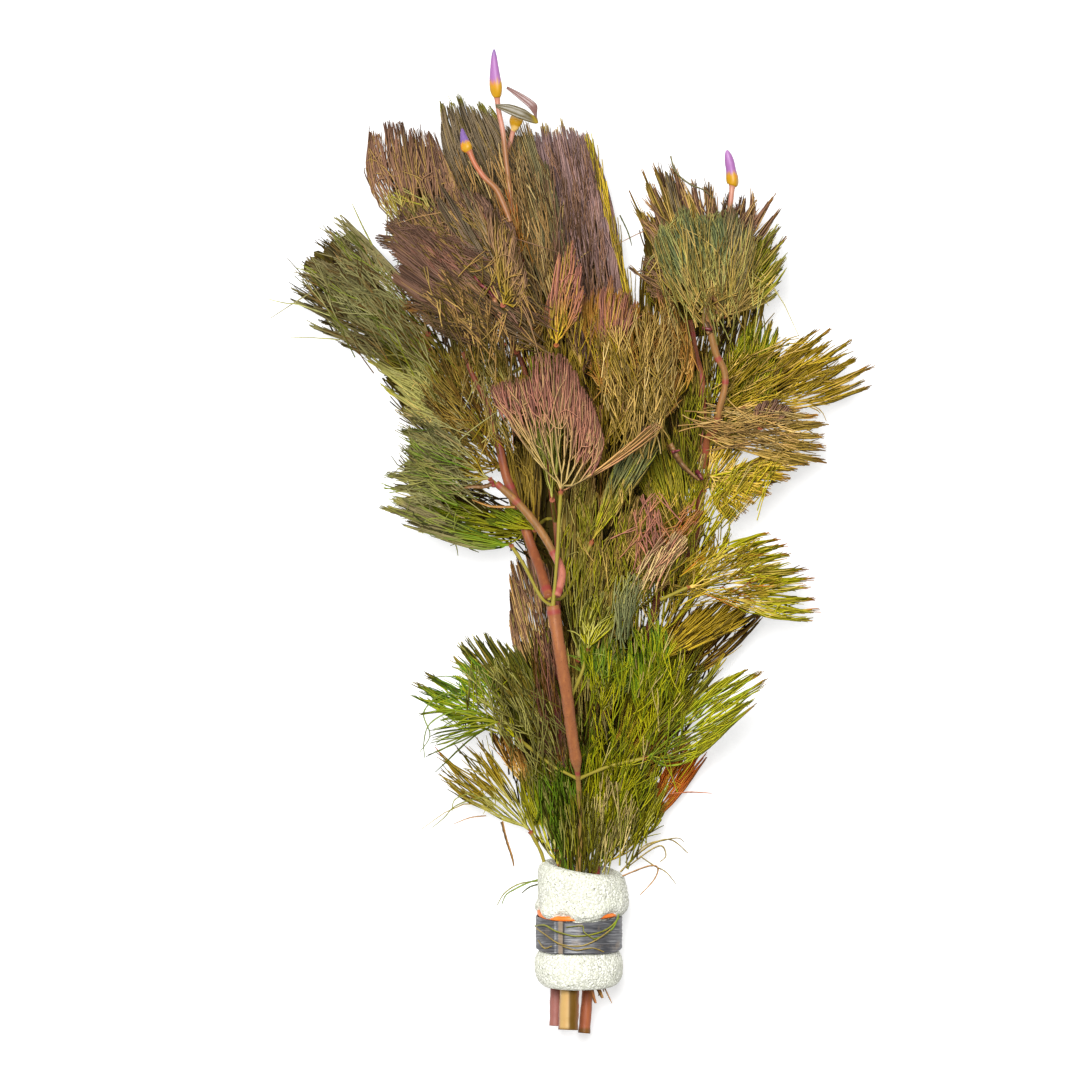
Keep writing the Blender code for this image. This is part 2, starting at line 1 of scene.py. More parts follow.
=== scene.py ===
# %% [markdown]
# # A cut bunch of forked fanwort
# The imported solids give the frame: where each stem, leaf and bud lies and how big it is. This
# scene grows the real thing on that frame: every leaf becomes a spray of forking strands, every
# stem gets its joints and bark colour, and the tie gets its foam, lead and rubber. The bunch lies
# on its back and the camera looks straight down on it.

# %% Load the frame
import math
import random
from collections import namedtuple

import bpy
import numpy as np
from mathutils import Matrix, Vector, noise


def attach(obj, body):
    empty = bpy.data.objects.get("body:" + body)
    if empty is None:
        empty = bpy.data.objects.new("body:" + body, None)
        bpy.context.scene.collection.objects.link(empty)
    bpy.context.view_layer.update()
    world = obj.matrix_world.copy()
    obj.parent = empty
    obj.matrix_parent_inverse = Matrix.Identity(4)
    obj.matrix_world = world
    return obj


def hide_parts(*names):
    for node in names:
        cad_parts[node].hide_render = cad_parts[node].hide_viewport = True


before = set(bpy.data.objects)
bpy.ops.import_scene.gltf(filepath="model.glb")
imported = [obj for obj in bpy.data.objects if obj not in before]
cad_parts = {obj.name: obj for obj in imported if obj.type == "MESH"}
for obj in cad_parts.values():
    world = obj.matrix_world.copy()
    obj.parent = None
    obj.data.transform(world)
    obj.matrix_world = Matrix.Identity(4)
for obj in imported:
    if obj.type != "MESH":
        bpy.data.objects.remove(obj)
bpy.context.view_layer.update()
MM = 0.001

# %% [markdown]
# ## Layers
# A pressed bunch is a pile of thin sprays. Each spray keeps to a layer: number 0 is the front
# face, number 11 lies flat on the table. The pile is low in the foam collar, swells to full
# height where the leaves open, and thins again towards the tips and the sides. One formula gives
# the height of any layer at any place, so sprays never have to be stacked by hand.

# %% Height of a layer
LOWEST_LAYER = 11.0
LOWEST_SHEET_Z = 0.40
COLLAR_MOUTH_Y = -84.0
MOUTH_LOW_Z, MOUTH_TOP_Z = 5.2, 15.6
BUNCH_TOP_Z = 43.0
OPENING_LENGTH, LIFT_OFF_LENGTH = 62.0, 22.0
TIP_START_Y, TIP_LENGTH, TIP_DROP = 55.0, 70.0, 9.0
HALF_WIDTH, SIDE_DROP = 76.0, 0.42


def ease(value):
    """Go from 0 to 1 with a soft start and a soft end; works on numbers and on arrays."""
    value = np.clip(value, 0.0, 1.0)
    return value * value * (3.0 - 2.0 * value)


def bell(value, centre, width):
    """1 at the centre, falling softly to 0 about twice the width away."""
    return np.exp(-((value - centre) / width) ** 2)


def layer_height(x, y, layer):
    """Height in millimetres of a layer over the table at (x, y)."""
    past_mouth = y - COLLAR_MOUTH_Y
    low = MOUTH_LOW_Z + (LOWEST_SHEET_Z - MOUTH_LOW_Z) * ease(past_mouth / LIFT_OFF_LENGTH)
    top = MOUTH_TOP_Z + (BUNCH_TOP_Z - MOUTH_TOP_Z) * ease(past_mouth / OPENING_LENGTH)
    top = top - TIP_DROP * ease((y - TIP_START_Y) / TIP_LENGTH)
    side = 1.0 - SIDE_DROP * np.minimum(1.0, (x / HALF_WIDTH) ** 2)
    return low + (top - low) * side * (1.0 - layer / LOWEST_LAYER)


print("pile height at the widest place:", round(float(layer_height(0.0, 20.0, 0.0)), 1), "mm")

# %% [markdown]
# ## Curves through points
# Stems and stalks are drawn as a few points with a smooth line through them. A Catmull-Rom curve
# does this: it passes through every point, and each span only looks at its two neighbours.

# %% Smooth line through points
def through(points, steps):
    """Points along a smooth curve through the listed points, as an array."""
    points = np.asarray(points, dtype=float)
    if len(points) == 1:
        return points
    spans = len(points) - 1
    t = np.linspace(0.0, spans, steps)
    index = np.minimum(t.astype(int), spans - 1)
    f = (t - index)[:, None]
    p0 = points[np.maximum(index - 1, 0)]
    p1, p2 = points[index], points[index + 1]
    p3 = points[np.minimum(index + 2, spans)]
    return 0.5 * (2 * p1 + (p2 - p0) * f + (2 * p0 - 5 * p1 + 4 * p2 - p3) * f ** 2
                  + (3 * p1 - p0 - 3 * p2 + p3) * f ** 3)


# %% [markdown]
# ## Meshes
# Four chores come back with every piece, so each has a function: quads over a grid of points, a
# smooth mesh from points in millimetres, an object that is linked to the scene, and a number
# written on every point of a mesh, for the paint to read.

# %% Meshes
def grid_faces(rows, columns, wrap_rows=False, wrap_columns=False):
    """Quads over a grid of points stored row by row."""
    faces = []
    for r in range(rows if wrap_rows else rows - 1):
        above = (r + 1) % rows
        for c in range(columns if wrap_columns else columns - 1):
            beside = (c + 1) % columns
            faces.append((r * columns + c, r * columns + beside,
                          above * columns + beside, above * columns + c))
    return faces


def smooth_mesh(name, points, faces):
    """A smooth mesh from points in millimetres."""
    mesh = bpy.data.meshes.new(name)
    mesh.from_pydata((np.asarray(points).reshape(-1, 3) * MM).tolist(), [], faces)
    mesh.shade_smooth()
    return mesh


def put(name, data):
    """An object for a mesh, a lamp or a camera, linked to the scene."""
    made = bpy.data.objects.new(name, data)
    bpy.context.scene.collection.objects.link(made)
    return made


def label(mesh, name, values):
    """Write one number on each point of a mesh."""
    data = mesh.attributes.new(name, "FLOAT", "POINT")
    data.data.foreach_set("value", np.asarray(values, dtype=np.float32))


# %% [markdown]
# ## Paint
# A leaf's colour shifts along each strand and from strand to strand. In Blender that is maths on
# sockets, and maths is easiest to read as an expression. The small class below wraps an output
# socket, so that `1 - mask * 0.5` adds the Math nodes by itself. Colours go through Mix nodes,
# since a Math node would turn them grey. A colour may be given by the name of a paint.

# %% Shader maths as expressions
class Wire:
    """An output socket that can be used in plain arithmetic."""

    def __init__(self, finish, socket):
        self.finish = finish
        self.socket = socket

    def _math(self, operation, *values):
        return self.finish.node("ShaderNodeMath", {"operation": operation}, dict(enumerate(values)))

    def __add__(self, other):
        return self._math("ADD", self, other)

    def __sub__(self, other):
        return self._math("SUBTRACT", self, other)

    def __mul__(self, other):
        return self._math("MULTIPLY", self, other)

    def __rsub__(self, other):
        return self._math("SUBTRACT", other, self)

    __radd__ = __add__
    __rmul__ = __mul__

    def fraction(self):
        """What is left after the whole part: turns a smooth number into a scattered one."""
        return self._math("FRACT", self)

    def step(self, low, high):
        """0 below low, 1 above high, eased between; low may be the larger one."""
        return self.finish.node(
            "ShaderNodeMapRange", {"interpolation_type": "SMOOTHSTEP"},
            {"Value": self, "From Min": low, "From Max": high, "To Min": 0.0, "To Max": 1.0},
        )


class Finish:
    """A material under construction: one Principled shader and what feeds it."""

    def __init__(self, name):
        self.material = bpy.data.materials.new(name)
        self.material.use_nodes = True
        self.tree = self.material.node_tree
        self.shader = self.tree.nodes["Principled BSDF"]
        self.colour = None

    def node(self, kind, settings=None, inputs=None, output=0):
        """Add a node: settings first, then the values or wires of its sockets."""
        made = self.tree.nodes.new(kind)
        for key, value in (settings or {}).items():
            setattr(made, key, value)
        for key, value in (inputs or {}).items():
            self.feed(made.inputs[key], value)
        return Wire(self, made.outputs[output])

    def feed(self, socket, value):
        """Link a wire to a socket, or set a number, a colour or a paint given by its name."""
        if isinstance(value, str):
            value = PAINTS[value]
        if isinstance(value, Wire):
            self.tree.links.new(value.socket, socket)
        elif socket.type == "RGBA" and len(value) == 3:
            socket.default_value = (*value, 1.0)
        else:
            socket.default_value = value

    def blend(self, mask, first, second, kind="MIX"):
        """Mix two colours; mask 0 keeps the first, 1 gives the second."""
        return self.node(
            "ShaderNodeMix", {"data_type": "RGBA", "blend_type": kind, "clamp_factor": True},
            {0: mask, 6: first, 7: second}, output=2,
        )

    def over(self, mask, paint, kind="MIX"):
        """Lay a paint over the colour so far, wherever the mask is 1."""
        self.colour = self.blend(mask, self.colour, paint, kind)

    def attribute(self, name):
        return self.node("ShaderNodeAttribute", {"attribute_name": name}, output=2)

    def place(self, stretch=(1.0, 1.0, 1.0)):
        """Object coordinates, stretched along each axis."""
        here = self.node("ShaderNodeTexCoord", output=3)
        return self.node("ShaderNodeMapping", {}, {"Vector": here, "Scale": stretch})

    def axis(self, number):
        """Where a point lies along one axis, in metres."""
        return self.node("ShaderNodeSeparateXYZ", {}, {"Vector": self.place()}, output=number)

    def cloud(self, scale, detail=2.0, where=None):
        """Soft noise from 0 to 1; scale is in patches per metre."""
        return self.node("ShaderNodeTexNoise", {}, {
            "Vector": where or self.place(), "Scale": scale, "Detail": detail,
        })

    def bump(self, height, strength, distance):
        return self.node("ShaderNodeBump", {}, {
            "Strength": strength, "Distance": distance, "Height": height,
        })

    def done(self, **inputs):
        """Set or link the colour and the shader's other sockets, and give the material."""
        self.feed(self.shader.inputs["Base Color"], self.colour)
        for key, value in inputs.items():
            socket = key.replace("_", " ").title().replace("Ior", "IOR")
            self.feed(self.shader.inputs[socket], value)
        return self.material


# %% [markdown]
# ## Named colours
# The bunch runs from lime green in the shade of its lower leaves to mauve and rose where it grew
# in bright light. Every finish below is mixed from this short list, named as a painter would.

# %% Colours
def rgb(values):
    """A colour given as screen values (0 to 255), as the linear light that Blender wants."""
    return tuple(
        ((v / 255 + 0.055) / 1.055) ** 2.4 if v > 10 else v / 255 / 12.92 for v in values
    )


PAINTS = {name: rgb(values) for name, values in {
    "straw": (222, 188, 112), "tan": (188, 150, 92), "khaki": (162, 138, 62), "olive": (154, 130, 28),
    "gold": (212, 184, 52), "lime": (180, 178, 26), "leaf_green": (122, 142, 24),
    "deep_green": (82, 88, 20), "moss": (138, 138, 34), "grey_green": (116, 110, 66),
    "sage": (178, 176, 100), "teal": (112, 122, 80), "mauve": (138, 103, 86), "plum": (120, 92, 80),
    "heather": (146, 114, 88), "slate": (128, 114, 92), "top_mauve": (166, 136, 134),
    "top_rose": (166, 124, 112), "grass": (106, 142, 34), "rose": (168, 112, 98), "pink": (192, 132, 108),
    "salmon": (194, 134, 92), "brown": (116, 82, 30), "rust": (200, 106, 34), "bronze": (174, 124, 54),
    # pale is a pale strand colour that also stands in for the wet strands' highlights in the front nets:
    # partly a painted highlight.
    "shade": (120, 108, 88), "dusk": (120, 102, 76), "pale": (228, 204, 142), "olive_grey": (122, 116, 72),
    "ash": (136, 128, 92), "ash_green": (156, 156, 104), "ash_tan": (182, 160, 104),
    # The first paint in this row is the dark of the sheet under the deep patches, a painted shade.
    "shade_sheet_dark": (64, 52, 22), "deep_brown": (90, 66, 26), "deep_olive": (84, 76, 20),
    "deep_mauve": (104, 78, 54), "stalk": (134, 122, 44), "joint_red": (136, 52, 50),
    "terracotta": (138, 84, 50), "bark_light": (174, 114, 64), "bark_dark": (96, 56, 46),
    "crimson": (116, 42, 46), "cut_pink": (138, 88, 80), "cut_gold": (180, 146, 90),
    "cut_olive": (94, 66, 14), "cut_rose": (146, 80, 50), "stalk_foot": (128, 84, 40),
    "stem_pink": (164, 98, 80), "stem_tan": (126, 90, 48), "stem_brown": (124, 68, 40),
    "stem_red": (104, 50, 32), "stem_gold": (128, 102, 48), "bud_pink": (176, 122, 100),
    "bud_orange": (180, 132, 6), "lilac": (148, 94, 150), "violet": (108, 78, 136),
    "pale_lilac": (160, 112, 164), "stalk_pink": (166, 104, 84), "salmon_stalk": (158, 86, 46),
    "cream": (206, 168, 92), "blade_olive": (82, 70, 32), "blade_mauve": (118, 86, 80),
    "foam": (240, 240, 230), "foam_shade": (172, 172, 150), "foam_green": (228, 230, 210),
    "foam_speck": (90, 88, 66), "band": (228, 112, 24), "band_light": (244, 140, 60),
    "lead": (106, 106, 108), "lead_dark": (60, 60, 64), "lead_light": (166, 166, 168),
    "lead_stain": (160, 140, 116),
}.items()}
print(len(PAINTS), "paints")

# %% [markdown]
# ## Strands by Geometry Nodes
# A fanwort leaf is a spray of fine strands that fork again and again. Modelling each one would be
# hopeless, so the script only draws their centre lines, as a mesh of edges that carries a radius.
# A Geometry Nodes tree gives them a body: it turns the edges into curves, varies their width a
# little from a fixed seed, and sweeps a profile along them. Blade strands get a flat profile,
# since wet strands lie like ribbons. Stalks, marked by an attribute, get a round one.

# %% A tree that gives centre lines a body
STRAND_SETTINGS = {
    "Strand Sides": 3, "Stalk Sides": 8, "Flatness": 0.5, "Unevenness": 0.3, "Seed": 7,
}


class Nodes:
    """A Geometry Nodes tree under construction."""

    def __init__(self, name, inputs):
        self.tree = bpy.data.node_groups.new(name, "GeometryNodeTree")
        face = self.tree.interface
        face.new_socket("Geometry", in_out="INPUT", socket_type="NodeSocketGeometry")
        self.names = {}
        for given, value in inputs.items():
            kind = "NodeSocketInt" if isinstance(value, int) else "NodeSocketFloat"
            socket = face.new_socket(given, in_out="INPUT", socket_type=kind)
            socket.default_value = value
            self.names[given] = socket.identifier
        socket = face.new_socket("Material", in_out="INPUT", socket_type="NodeSocketMaterial")
        self.names["Material"] = socket.identifier
        face.new_socket("Geometry", in_out="OUTPUT", socket_type="NodeSocketGeometry")
        self.start = self.tree.nodes.new("NodeGroupInput")
        self.end = self.tree.nodes.new("NodeGroupOutput")

    def node(self, kind, settings=None, inputs=None, output=0):
        made = self.tree.nodes.new(kind)
        for key, value in (settings or {}).items():
            setattr(made, key, value)
        for key, value in (inputs or {}).items():
            sockets = value if isinstance(value, list) else [value]
            for one in sockets:
                if isinstance(one, bpy.types.NodeSocket):
                    self.tree.links.new(one, made.inputs[key])
                else:
                    made.inputs[key].default_value = one
        return made.outputs[output]

    def given(self, name):
        return self.start.outputs[name]

    def finish(self, geometry):
        self.tree.links.new(geometry, self.end.inputs[0])


def strand_tree():
    """Edges with the attributes thickness and round, swept into flat strands and round stalks."""
    t = Nodes("strands", STRAND_SETTINGS)
    lines = t.node("GeometryNodeMeshToCurve", {}, {"Mesh": t.given("Geometry")})
    width = t.node("GeometryNodeInputNamedAttribute", {"data_type": "FLOAT"}, {"Name": "thickness"})
    chance = t.node("FunctionNodeRandomValue", {"data_type": "FLOAT"},
                    {"Min": -0.5, "Max": 0.5, "Seed": t.given("Seed")}, output=1)
    uneven = t.node("ShaderNodeMath", {"operation": "MULTIPLY_ADD"},
                    {0: chance, 1: t.given("Unevenness"), 2: 1.0})
    width = t.node("ShaderNodeMath", {"operation": "MULTIPLY"}, {0: width, 1: uneven})
    lines = t.node("GeometryNodeSetCurveNormal", {"mode": "Z_UP"}, {"Curve": lines})
    is_round = t.node("GeometryNodeInputNamedAttribute", {"data_type": "FLOAT"}, {"Name": "round"})
    is_round = t.node("FunctionNodeCompare", {"operation": "GREATER_THAN"}, {0: is_round, 1: 0.5})
    parted = t.node("GeometryNodeSeparateGeometry", {"domain": "CURVE"},
                    {"Geometry": lines, "Selection": is_round})
    stalks, strands = parted, parted.node.outputs[1]
    stalk_ring, strand_ring = [
        t.node("GeometryNodeCurvePrimitiveCircle", {}, {"Resolution": t.given(sides), "Radius": 1.0})
        for sides in ("Stalk Sides", "Strand Sides")
    ]
    flat = t.node("ShaderNodeCombineXYZ", {}, {0: 1.0, 1: t.given("Flatness"), 2: 1.0})
    strand_ring = t.node("GeometryNodeTransform", {}, {"Geometry": strand_ring, "Scale": flat})
    stalks, strands = [
        t.node("GeometryNodeCurveToMesh", {},
               {"Curve": curves, "Profile Curve": ring, "Scale": width, "Fill Caps": True})
        for curves, ring in ((stalks, stalk_ring), (strands, strand_ring))
    ]
    both = t.node("GeometryNodeJoinGeometry", {}, {"Geometry": [stalks, strands]})
    both = t.node("GeometryNodeRealizeInstances", {}, {"Geometry": both})
    both = t.node("GeometryNodeSetShadeSmooth", {}, {"Geometry": both})
    both = t.node("GeometryNodeSetMaterial", {},
                  {"Geometry": both, "Material": t.given("Material")})
    t.finish(both)
    return t


STRANDS = strand_tree()
print("strand tree:", len(STRANDS.tree.nodes), "nodes")

# %% [markdown]
# The tree is used through one helper: it lays the centre lines down as edges, hangs the tree on
# them as a modifier, reads the result back as a plain mesh and throws the modifier away. What
# stays is an ordinary piece that rides on the frame.

# %% From centre lines to a finished piece
Line = namedtuple("Line", "points radius along chance round")


def body_of_lines(name, lines, finish, flatness=STRAND_SETTINGS["Flatness"]):
    """A mesh object from centre lines (points in millimetres, radius in millimetres)."""
    counts = [len(line.points) for line in lines]
    starts = np.cumsum([0] + counts[:-1])
    points = np.concatenate([line.points for line in lines]) * MM
    edges = np.concatenate([
        np.stack([np.arange(n - 1) + s, np.arange(1, n) + s], axis=1)
        for n, s in zip(counts, starts)
    ])
    mesh = bpy.data.meshes.new(name)
    mesh.from_pydata(points.tolist(), edges.tolist(), [])
    radii = [np.broadcast_to(line.radius, n) for line, n in zip(lines, counts)]
    label(mesh, "thickness", np.concatenate(radii) * MM)
    label(mesh, "along", np.concatenate([line.along for line in lines]))
    label(mesh, "chance", np.repeat([line.chance for line in lines], counts))
    label(mesh, "round", np.repeat([float(line.round) for line in lines], counts))
    source = put(name + "_lines", mesh)
    grow = source.modifiers.new("grow", "NODES")
    grow.node_group = STRANDS.tree
    for given, value in {**STRAND_SETTINGS, "Flatness": flatness, "Material": finish}.items():
        grow[STRANDS.names[given]] = value
    bpy.context.view_layer.update()
    graph = bpy.context.evaluated_depsgraph_get()
    grown = bpy.data.meshes.new_from_object(source.evaluated_get(graph))
    grown.name = name
    bpy.data.objects.remove(source)
    if not grown.materials:
        grown.materials.append(finish)
    return put(name, grown)


def keep(piece, slot, *nodes):
    """Let a finished piece ride on the frame, in place of the solids it stands for."""
    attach(piece, "root")
    if nodes:
        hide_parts(*nodes)


# %% [markdown]
# ## Stems
# Three cut stems and four branches carry everything. Each is a slightly uneven tube with swollen,
# dark red joints where leaves and shoots leave it. A row gives the layers from foot to tip, how
# far along the joints sit, a foot paint and a head paint with the share of the length where one
# turns into the other, a slim stretch (from, to, how slim), and places with a radius.

# %% Stems
Stem = namedtuple("Stem", "name layers joints paints change waist points")
STEMS = [
    Stem("front_stem", (1.0, 0.8, 0.6, 0.5, 0.5), (0.605, 0.985), "stem_gold terracotta", 0.6,
        (0.26, 0.605, 0.45), ((-1.6, -122.1, 2), (-1.1, -110.9, 1.88), (-0.1, -97.1, 1.75),
        (0.9, -82.1, 1.6), (1.4, -73.4, 1.4), (0.9, -59.1, 1.55), (-0.6, -48.4, 1.5), (-2.1, -37.1, 1.6),
        (-4.1, -24.6, 1.6), (-5.4, -16.1, 1.75))),
    Stem("front_left_branch", (1.9, 4.4, 4.9, 4.9, 4.9), (0.03, 0.45, 0.62, 0.8), "stem_brown stem_red",
        0.55, (0.6, 1.1, 0.75), ((-6.4, -14.1, 1.35), (-8.4, -7.6, 1.3), (-10.6, -1.6, 1.25),
        (-14.1, 8.6, 1.25), (-17.1, 16.4, 1.15), (-18.9, 24.1, 1.05), (-21.6, 34.1, 1), (-25.1, 40.9, 0.9),
        (-27.9, 47.4, 0.75))),
    Stem("front_middle_branch", (0.6, 1.7, 1.9), (0.04, 0.33, 0.8, 0.97), "stem_pink stem_tan", 0.34,
        (0.0, 1.1, 0.95), ((-4.6, -13.6, 1.15), (-3.1, -8.1, 1.15), (-5.4, -2.6, 1.05), (-9.1, 3.6, 1.1),
        (-14.1, 9.6, 1.1), (-19.6, 14.6, 0.9))),
    Stem("left_stem", (8.0, 7.5, 7.5, 7.5), (0.3, 0.62, 0.8, 0.92), "crimson stem_red", 0.5,
        (0.45, 1.1, 0.65), ((-4.9, -121.1, 1.12), (-4.6, -110.9, 1.12), (-4.1, -97.1, 1.12),
        (-3.1, -82.1, 1.1), (-3.1, -64.6, 1.05), (-4.1, -49.6, 1.1), (-4.4, -32.1, 1.1), (-4.1, -14.6, 1.07),
        (-4.4, 0.4, 1.1), (-5.9, 12.9, 1.1), (-8.6, 27.9, 1), (-12.6, 42.9, 1), (-16.6, 52.9, 0.9))),
    Stem("right_stem", (8.0, 7.5, 7.5, 7.5, 6.5), (0.28, 0.62, 0.8, 0.97), "stem_brown stem_red", 0.3,
        (0.0, 1.1, 0.9), ((2.4, -122.9, 1.25), (3.4, -110.9, 1.25), (4.4, -97.1, 1.15), (5.4, -82.1, 1.1),
        (9.9, -59.6, 1.1), (14.9, -37.1, 1.1), (20.4, -15.1, 1.05), (23.4, -9.1, 1), (29.9, -0.6, 1),
        (30.9, 6.9, 1), (32.6, 16.9, 1.15))),
    Stem("right_shoot_stem", (5.0, 2.2, 1.8, 1.7), (0.1, 0.3, 0.52, 0.66, 0.84, 0.97), "stem_brown stem_tan",
        0.3, (0.0, 1.1, 0.85), ((32.9, 18.4, 1.05), (33.1, 25.4, 1), (35.4, 28.4, 1), (36.1, 32.6, 1.05),
        (37.6, 38.6, 1), (37.4, 42.9, 1), (35.4, 46.9, 1.1), (33.9, 53.1, 1.15), (32.9, 55.9, 1),
        (33.4, 59.9, 0.9))),
    Stem("right_back_branch", (6.4, 6.4), (0.2, 0.6, 0.9), "stem_red stem_brown", 0.5, (0.0, 1.1, 0.9),
        ((31.4, 19.9, 1), (32.1, 25.4, 1), (31.9, 39.6, 0.95), (30.4, 46.4, 0.9), (28.9, 55.4, 0.75))),
]
print(len(STEMS), "stems and branches")

# %% Lines of the stems
JOINT_LENGTH, JOINT_SWELLING = 0.8, 0.10
FOOT_TOP_Y, FOOT_FLARE = -104.0, 0.30
STEM_STEP = 0.8


def stem_line(stem):
    """Centre line, radius and the nearness of a joint along a stem."""
    places = np.array([p[:2] for p in stem.points], dtype=float)
    length = np.linalg.norm(np.diff(places, axis=0), axis=1).sum()
    steps = int(length / STEM_STEP)
    line = through(stem.points, steps)
    layers = through([(v,) for v in stem.layers], steps)[:, 0]
    share = np.linspace(0.0, 1.0, steps)
    low, high, slim = stem.waist
    slender = ease((share - low) / 0.04) * ease((high - share) / 0.04)
    line[:, 2] *= 0.97 - (1.0 - slim) * slender
    run = np.concatenate([[0], np.cumsum(np.linalg.norm(np.diff(line[:, :2], axis=0), axis=1))])
    near = np.zeros(steps)
    for joint in stem.joints:
        near = np.maximum(near, bell(run, joint * run[-1], JOINT_LENGTH))
    height = layer_height(line[:, 0], line[:, 1], layers)
    points = np.stack([line[:, 0], line[:, 1], height], axis=1)
    wave = 0.03 * np.sin(run * 0.9 + len(stem.name)) + 0.02 * np.sin(run * 2.3)
    radius = line[:, 2] * (1.0 + JOINT_SWELLING * near + wave)
    radius = radius * (1.0 + FOOT_FLARE * ease((FOOT_TOP_Y - line[:, 1]) / 4.0))
    return points, radius, near, run / run[-1]


STEM_LINES = {stem.name: stem_line(stem) for stem in STEMS}
print("stems:", ", ".join(f"{k} {len(v[0])} rings" for k, v in STEM_LINES.items()))

# %% [markdown]
# The stems use a small sweep of their own. It writes the nearness of a joint and the share of the
# length on its rings, for the paint to read, and it can flute the tube, which the buds need.

# %% Sweep of rings
def ring_tube(name, points, radius, values, sides=14, lobes=0, lobe_depth=0.0, twist=0.0):
    """A closed tube round a centre line. Values are numbers for each ring, kept as attributes.
    Lobes make it fluted, as petals rolled round each other are."""
    points = np.asarray(points, dtype=float)
    rings = len(points)
    radius = np.broadcast_to(radius, rings)
    ahead = np.gradient(points, axis=0)
    ahead /= np.linalg.norm(ahead, axis=1)[:, None]
    side = np.cross(ahead, (0.0, 0.0, 1.0))
    side /= np.linalg.norm(side, axis=1)[:, None]
    up = np.cross(side, ahead)
    turn = np.linspace(0, 2 * math.pi, sides, endpoint=False)
    share = np.linspace(0, 1, rings)[:, None]
    flute = 1.0 + np.broadcast_to(lobe_depth, rings)[:, None] * np.cos(lobes * (turn + twist * share))
    reach = radius[:, None] * flute
    body = (points[:, None, :] + reach[..., None] * (
        np.cos(turn)[None, :, None] * side[:, None, :] + np.sin(turn)[None, :, None] * up[:, None, :]
    ))
    body = np.concatenate([body.reshape(-1, 3), points[:1], points[-1:]])
    first, last, top = rings * sides, rings * sides + 1, (rings - 1) * sides
    faces = grid_faces(rings, sides, False, True)
    faces += [(first, (s + 1) % sides, s) for s in range(sides)]
    faces += [(last, top + s, top + (s + 1) % sides) for s in range(sides)]
    mesh = smooth_mesh(name, body, faces)
    for key, column in values.items():
        label(mesh, key, np.concatenate([np.repeat(column, sides), [column[0], column[-1]]]))
    return put(name, mesh)


# %% [markdown]
# Bark is two paints with streaks, freckles and dark patches, and red joints. Below the foam each
# cut foot has a paint of its own, chosen by where it lies across the bunch.

# %% Bark
for stem in STEMS:
    points, radius, near, share = STEM_LINES[stem.name]
    foot, head = stem.paints.split()
    piece = ring_tube(stem.name + "_skin", points, radius, {"along": share, "joint": near}, sides=16)
    f = Finish(stem.name + "_bark")
    along = f.attribute("along")
    streak = f.cloud(900.0, 3.0, f.place((1.0, 0.10, 1.0)))
    freckle = f.cloud(2400.0, 2.0)
    patch = f.cloud(160.0, 3.0)
    past_change = (along + (patch - 0.5) * 0.10).step(stem.change - 0.04, stem.change + 0.04)
    f.colour = f.blend(past_change, foot, head)
    f.over(streak.step(0.45, 0.75) * 0.40, "bark_light")
    f.over(patch.step(0.52, 0.78) * 0.40, "bark_dark")
    f.over(freckle.step(0.60, 0.70) * 0.62, "bark_dark")
    f.over(f.attribute("joint").step(0.25, 0.9) * 0.8, "joint_red")
    across, along_bunch = f.axis(0), f.axis(1)
    cut = f.blend(across.step(-0.0040, -0.0034), "cut_pink", "cut_gold")
    cut = f.blend(across.step(-0.0018, -0.0010), cut, "cut_olive")
    cut = f.blend(across.step(0.0006, 0.0010), cut, "cut_rose")
    cut = f.blend(along_bunch.step(-0.1212, -0.1222) * 0.8, cut, "cut_olive")
    cut = f.blend(streak.step(0.45, 0.75) * 0.3, cut, "bark_light")
    f.over(along_bunch.step(-0.104, -0.106), cut)
    piece.data.materials.append(f.done(roughness=0.5, specular_ior_level=0.2,
                                       normal=f.bump(streak + freckle * 0.6, 0.45, 0.0002)))
    keep(piece, "stem", stem.name)
print("dressed", len(STEMS), "stems")
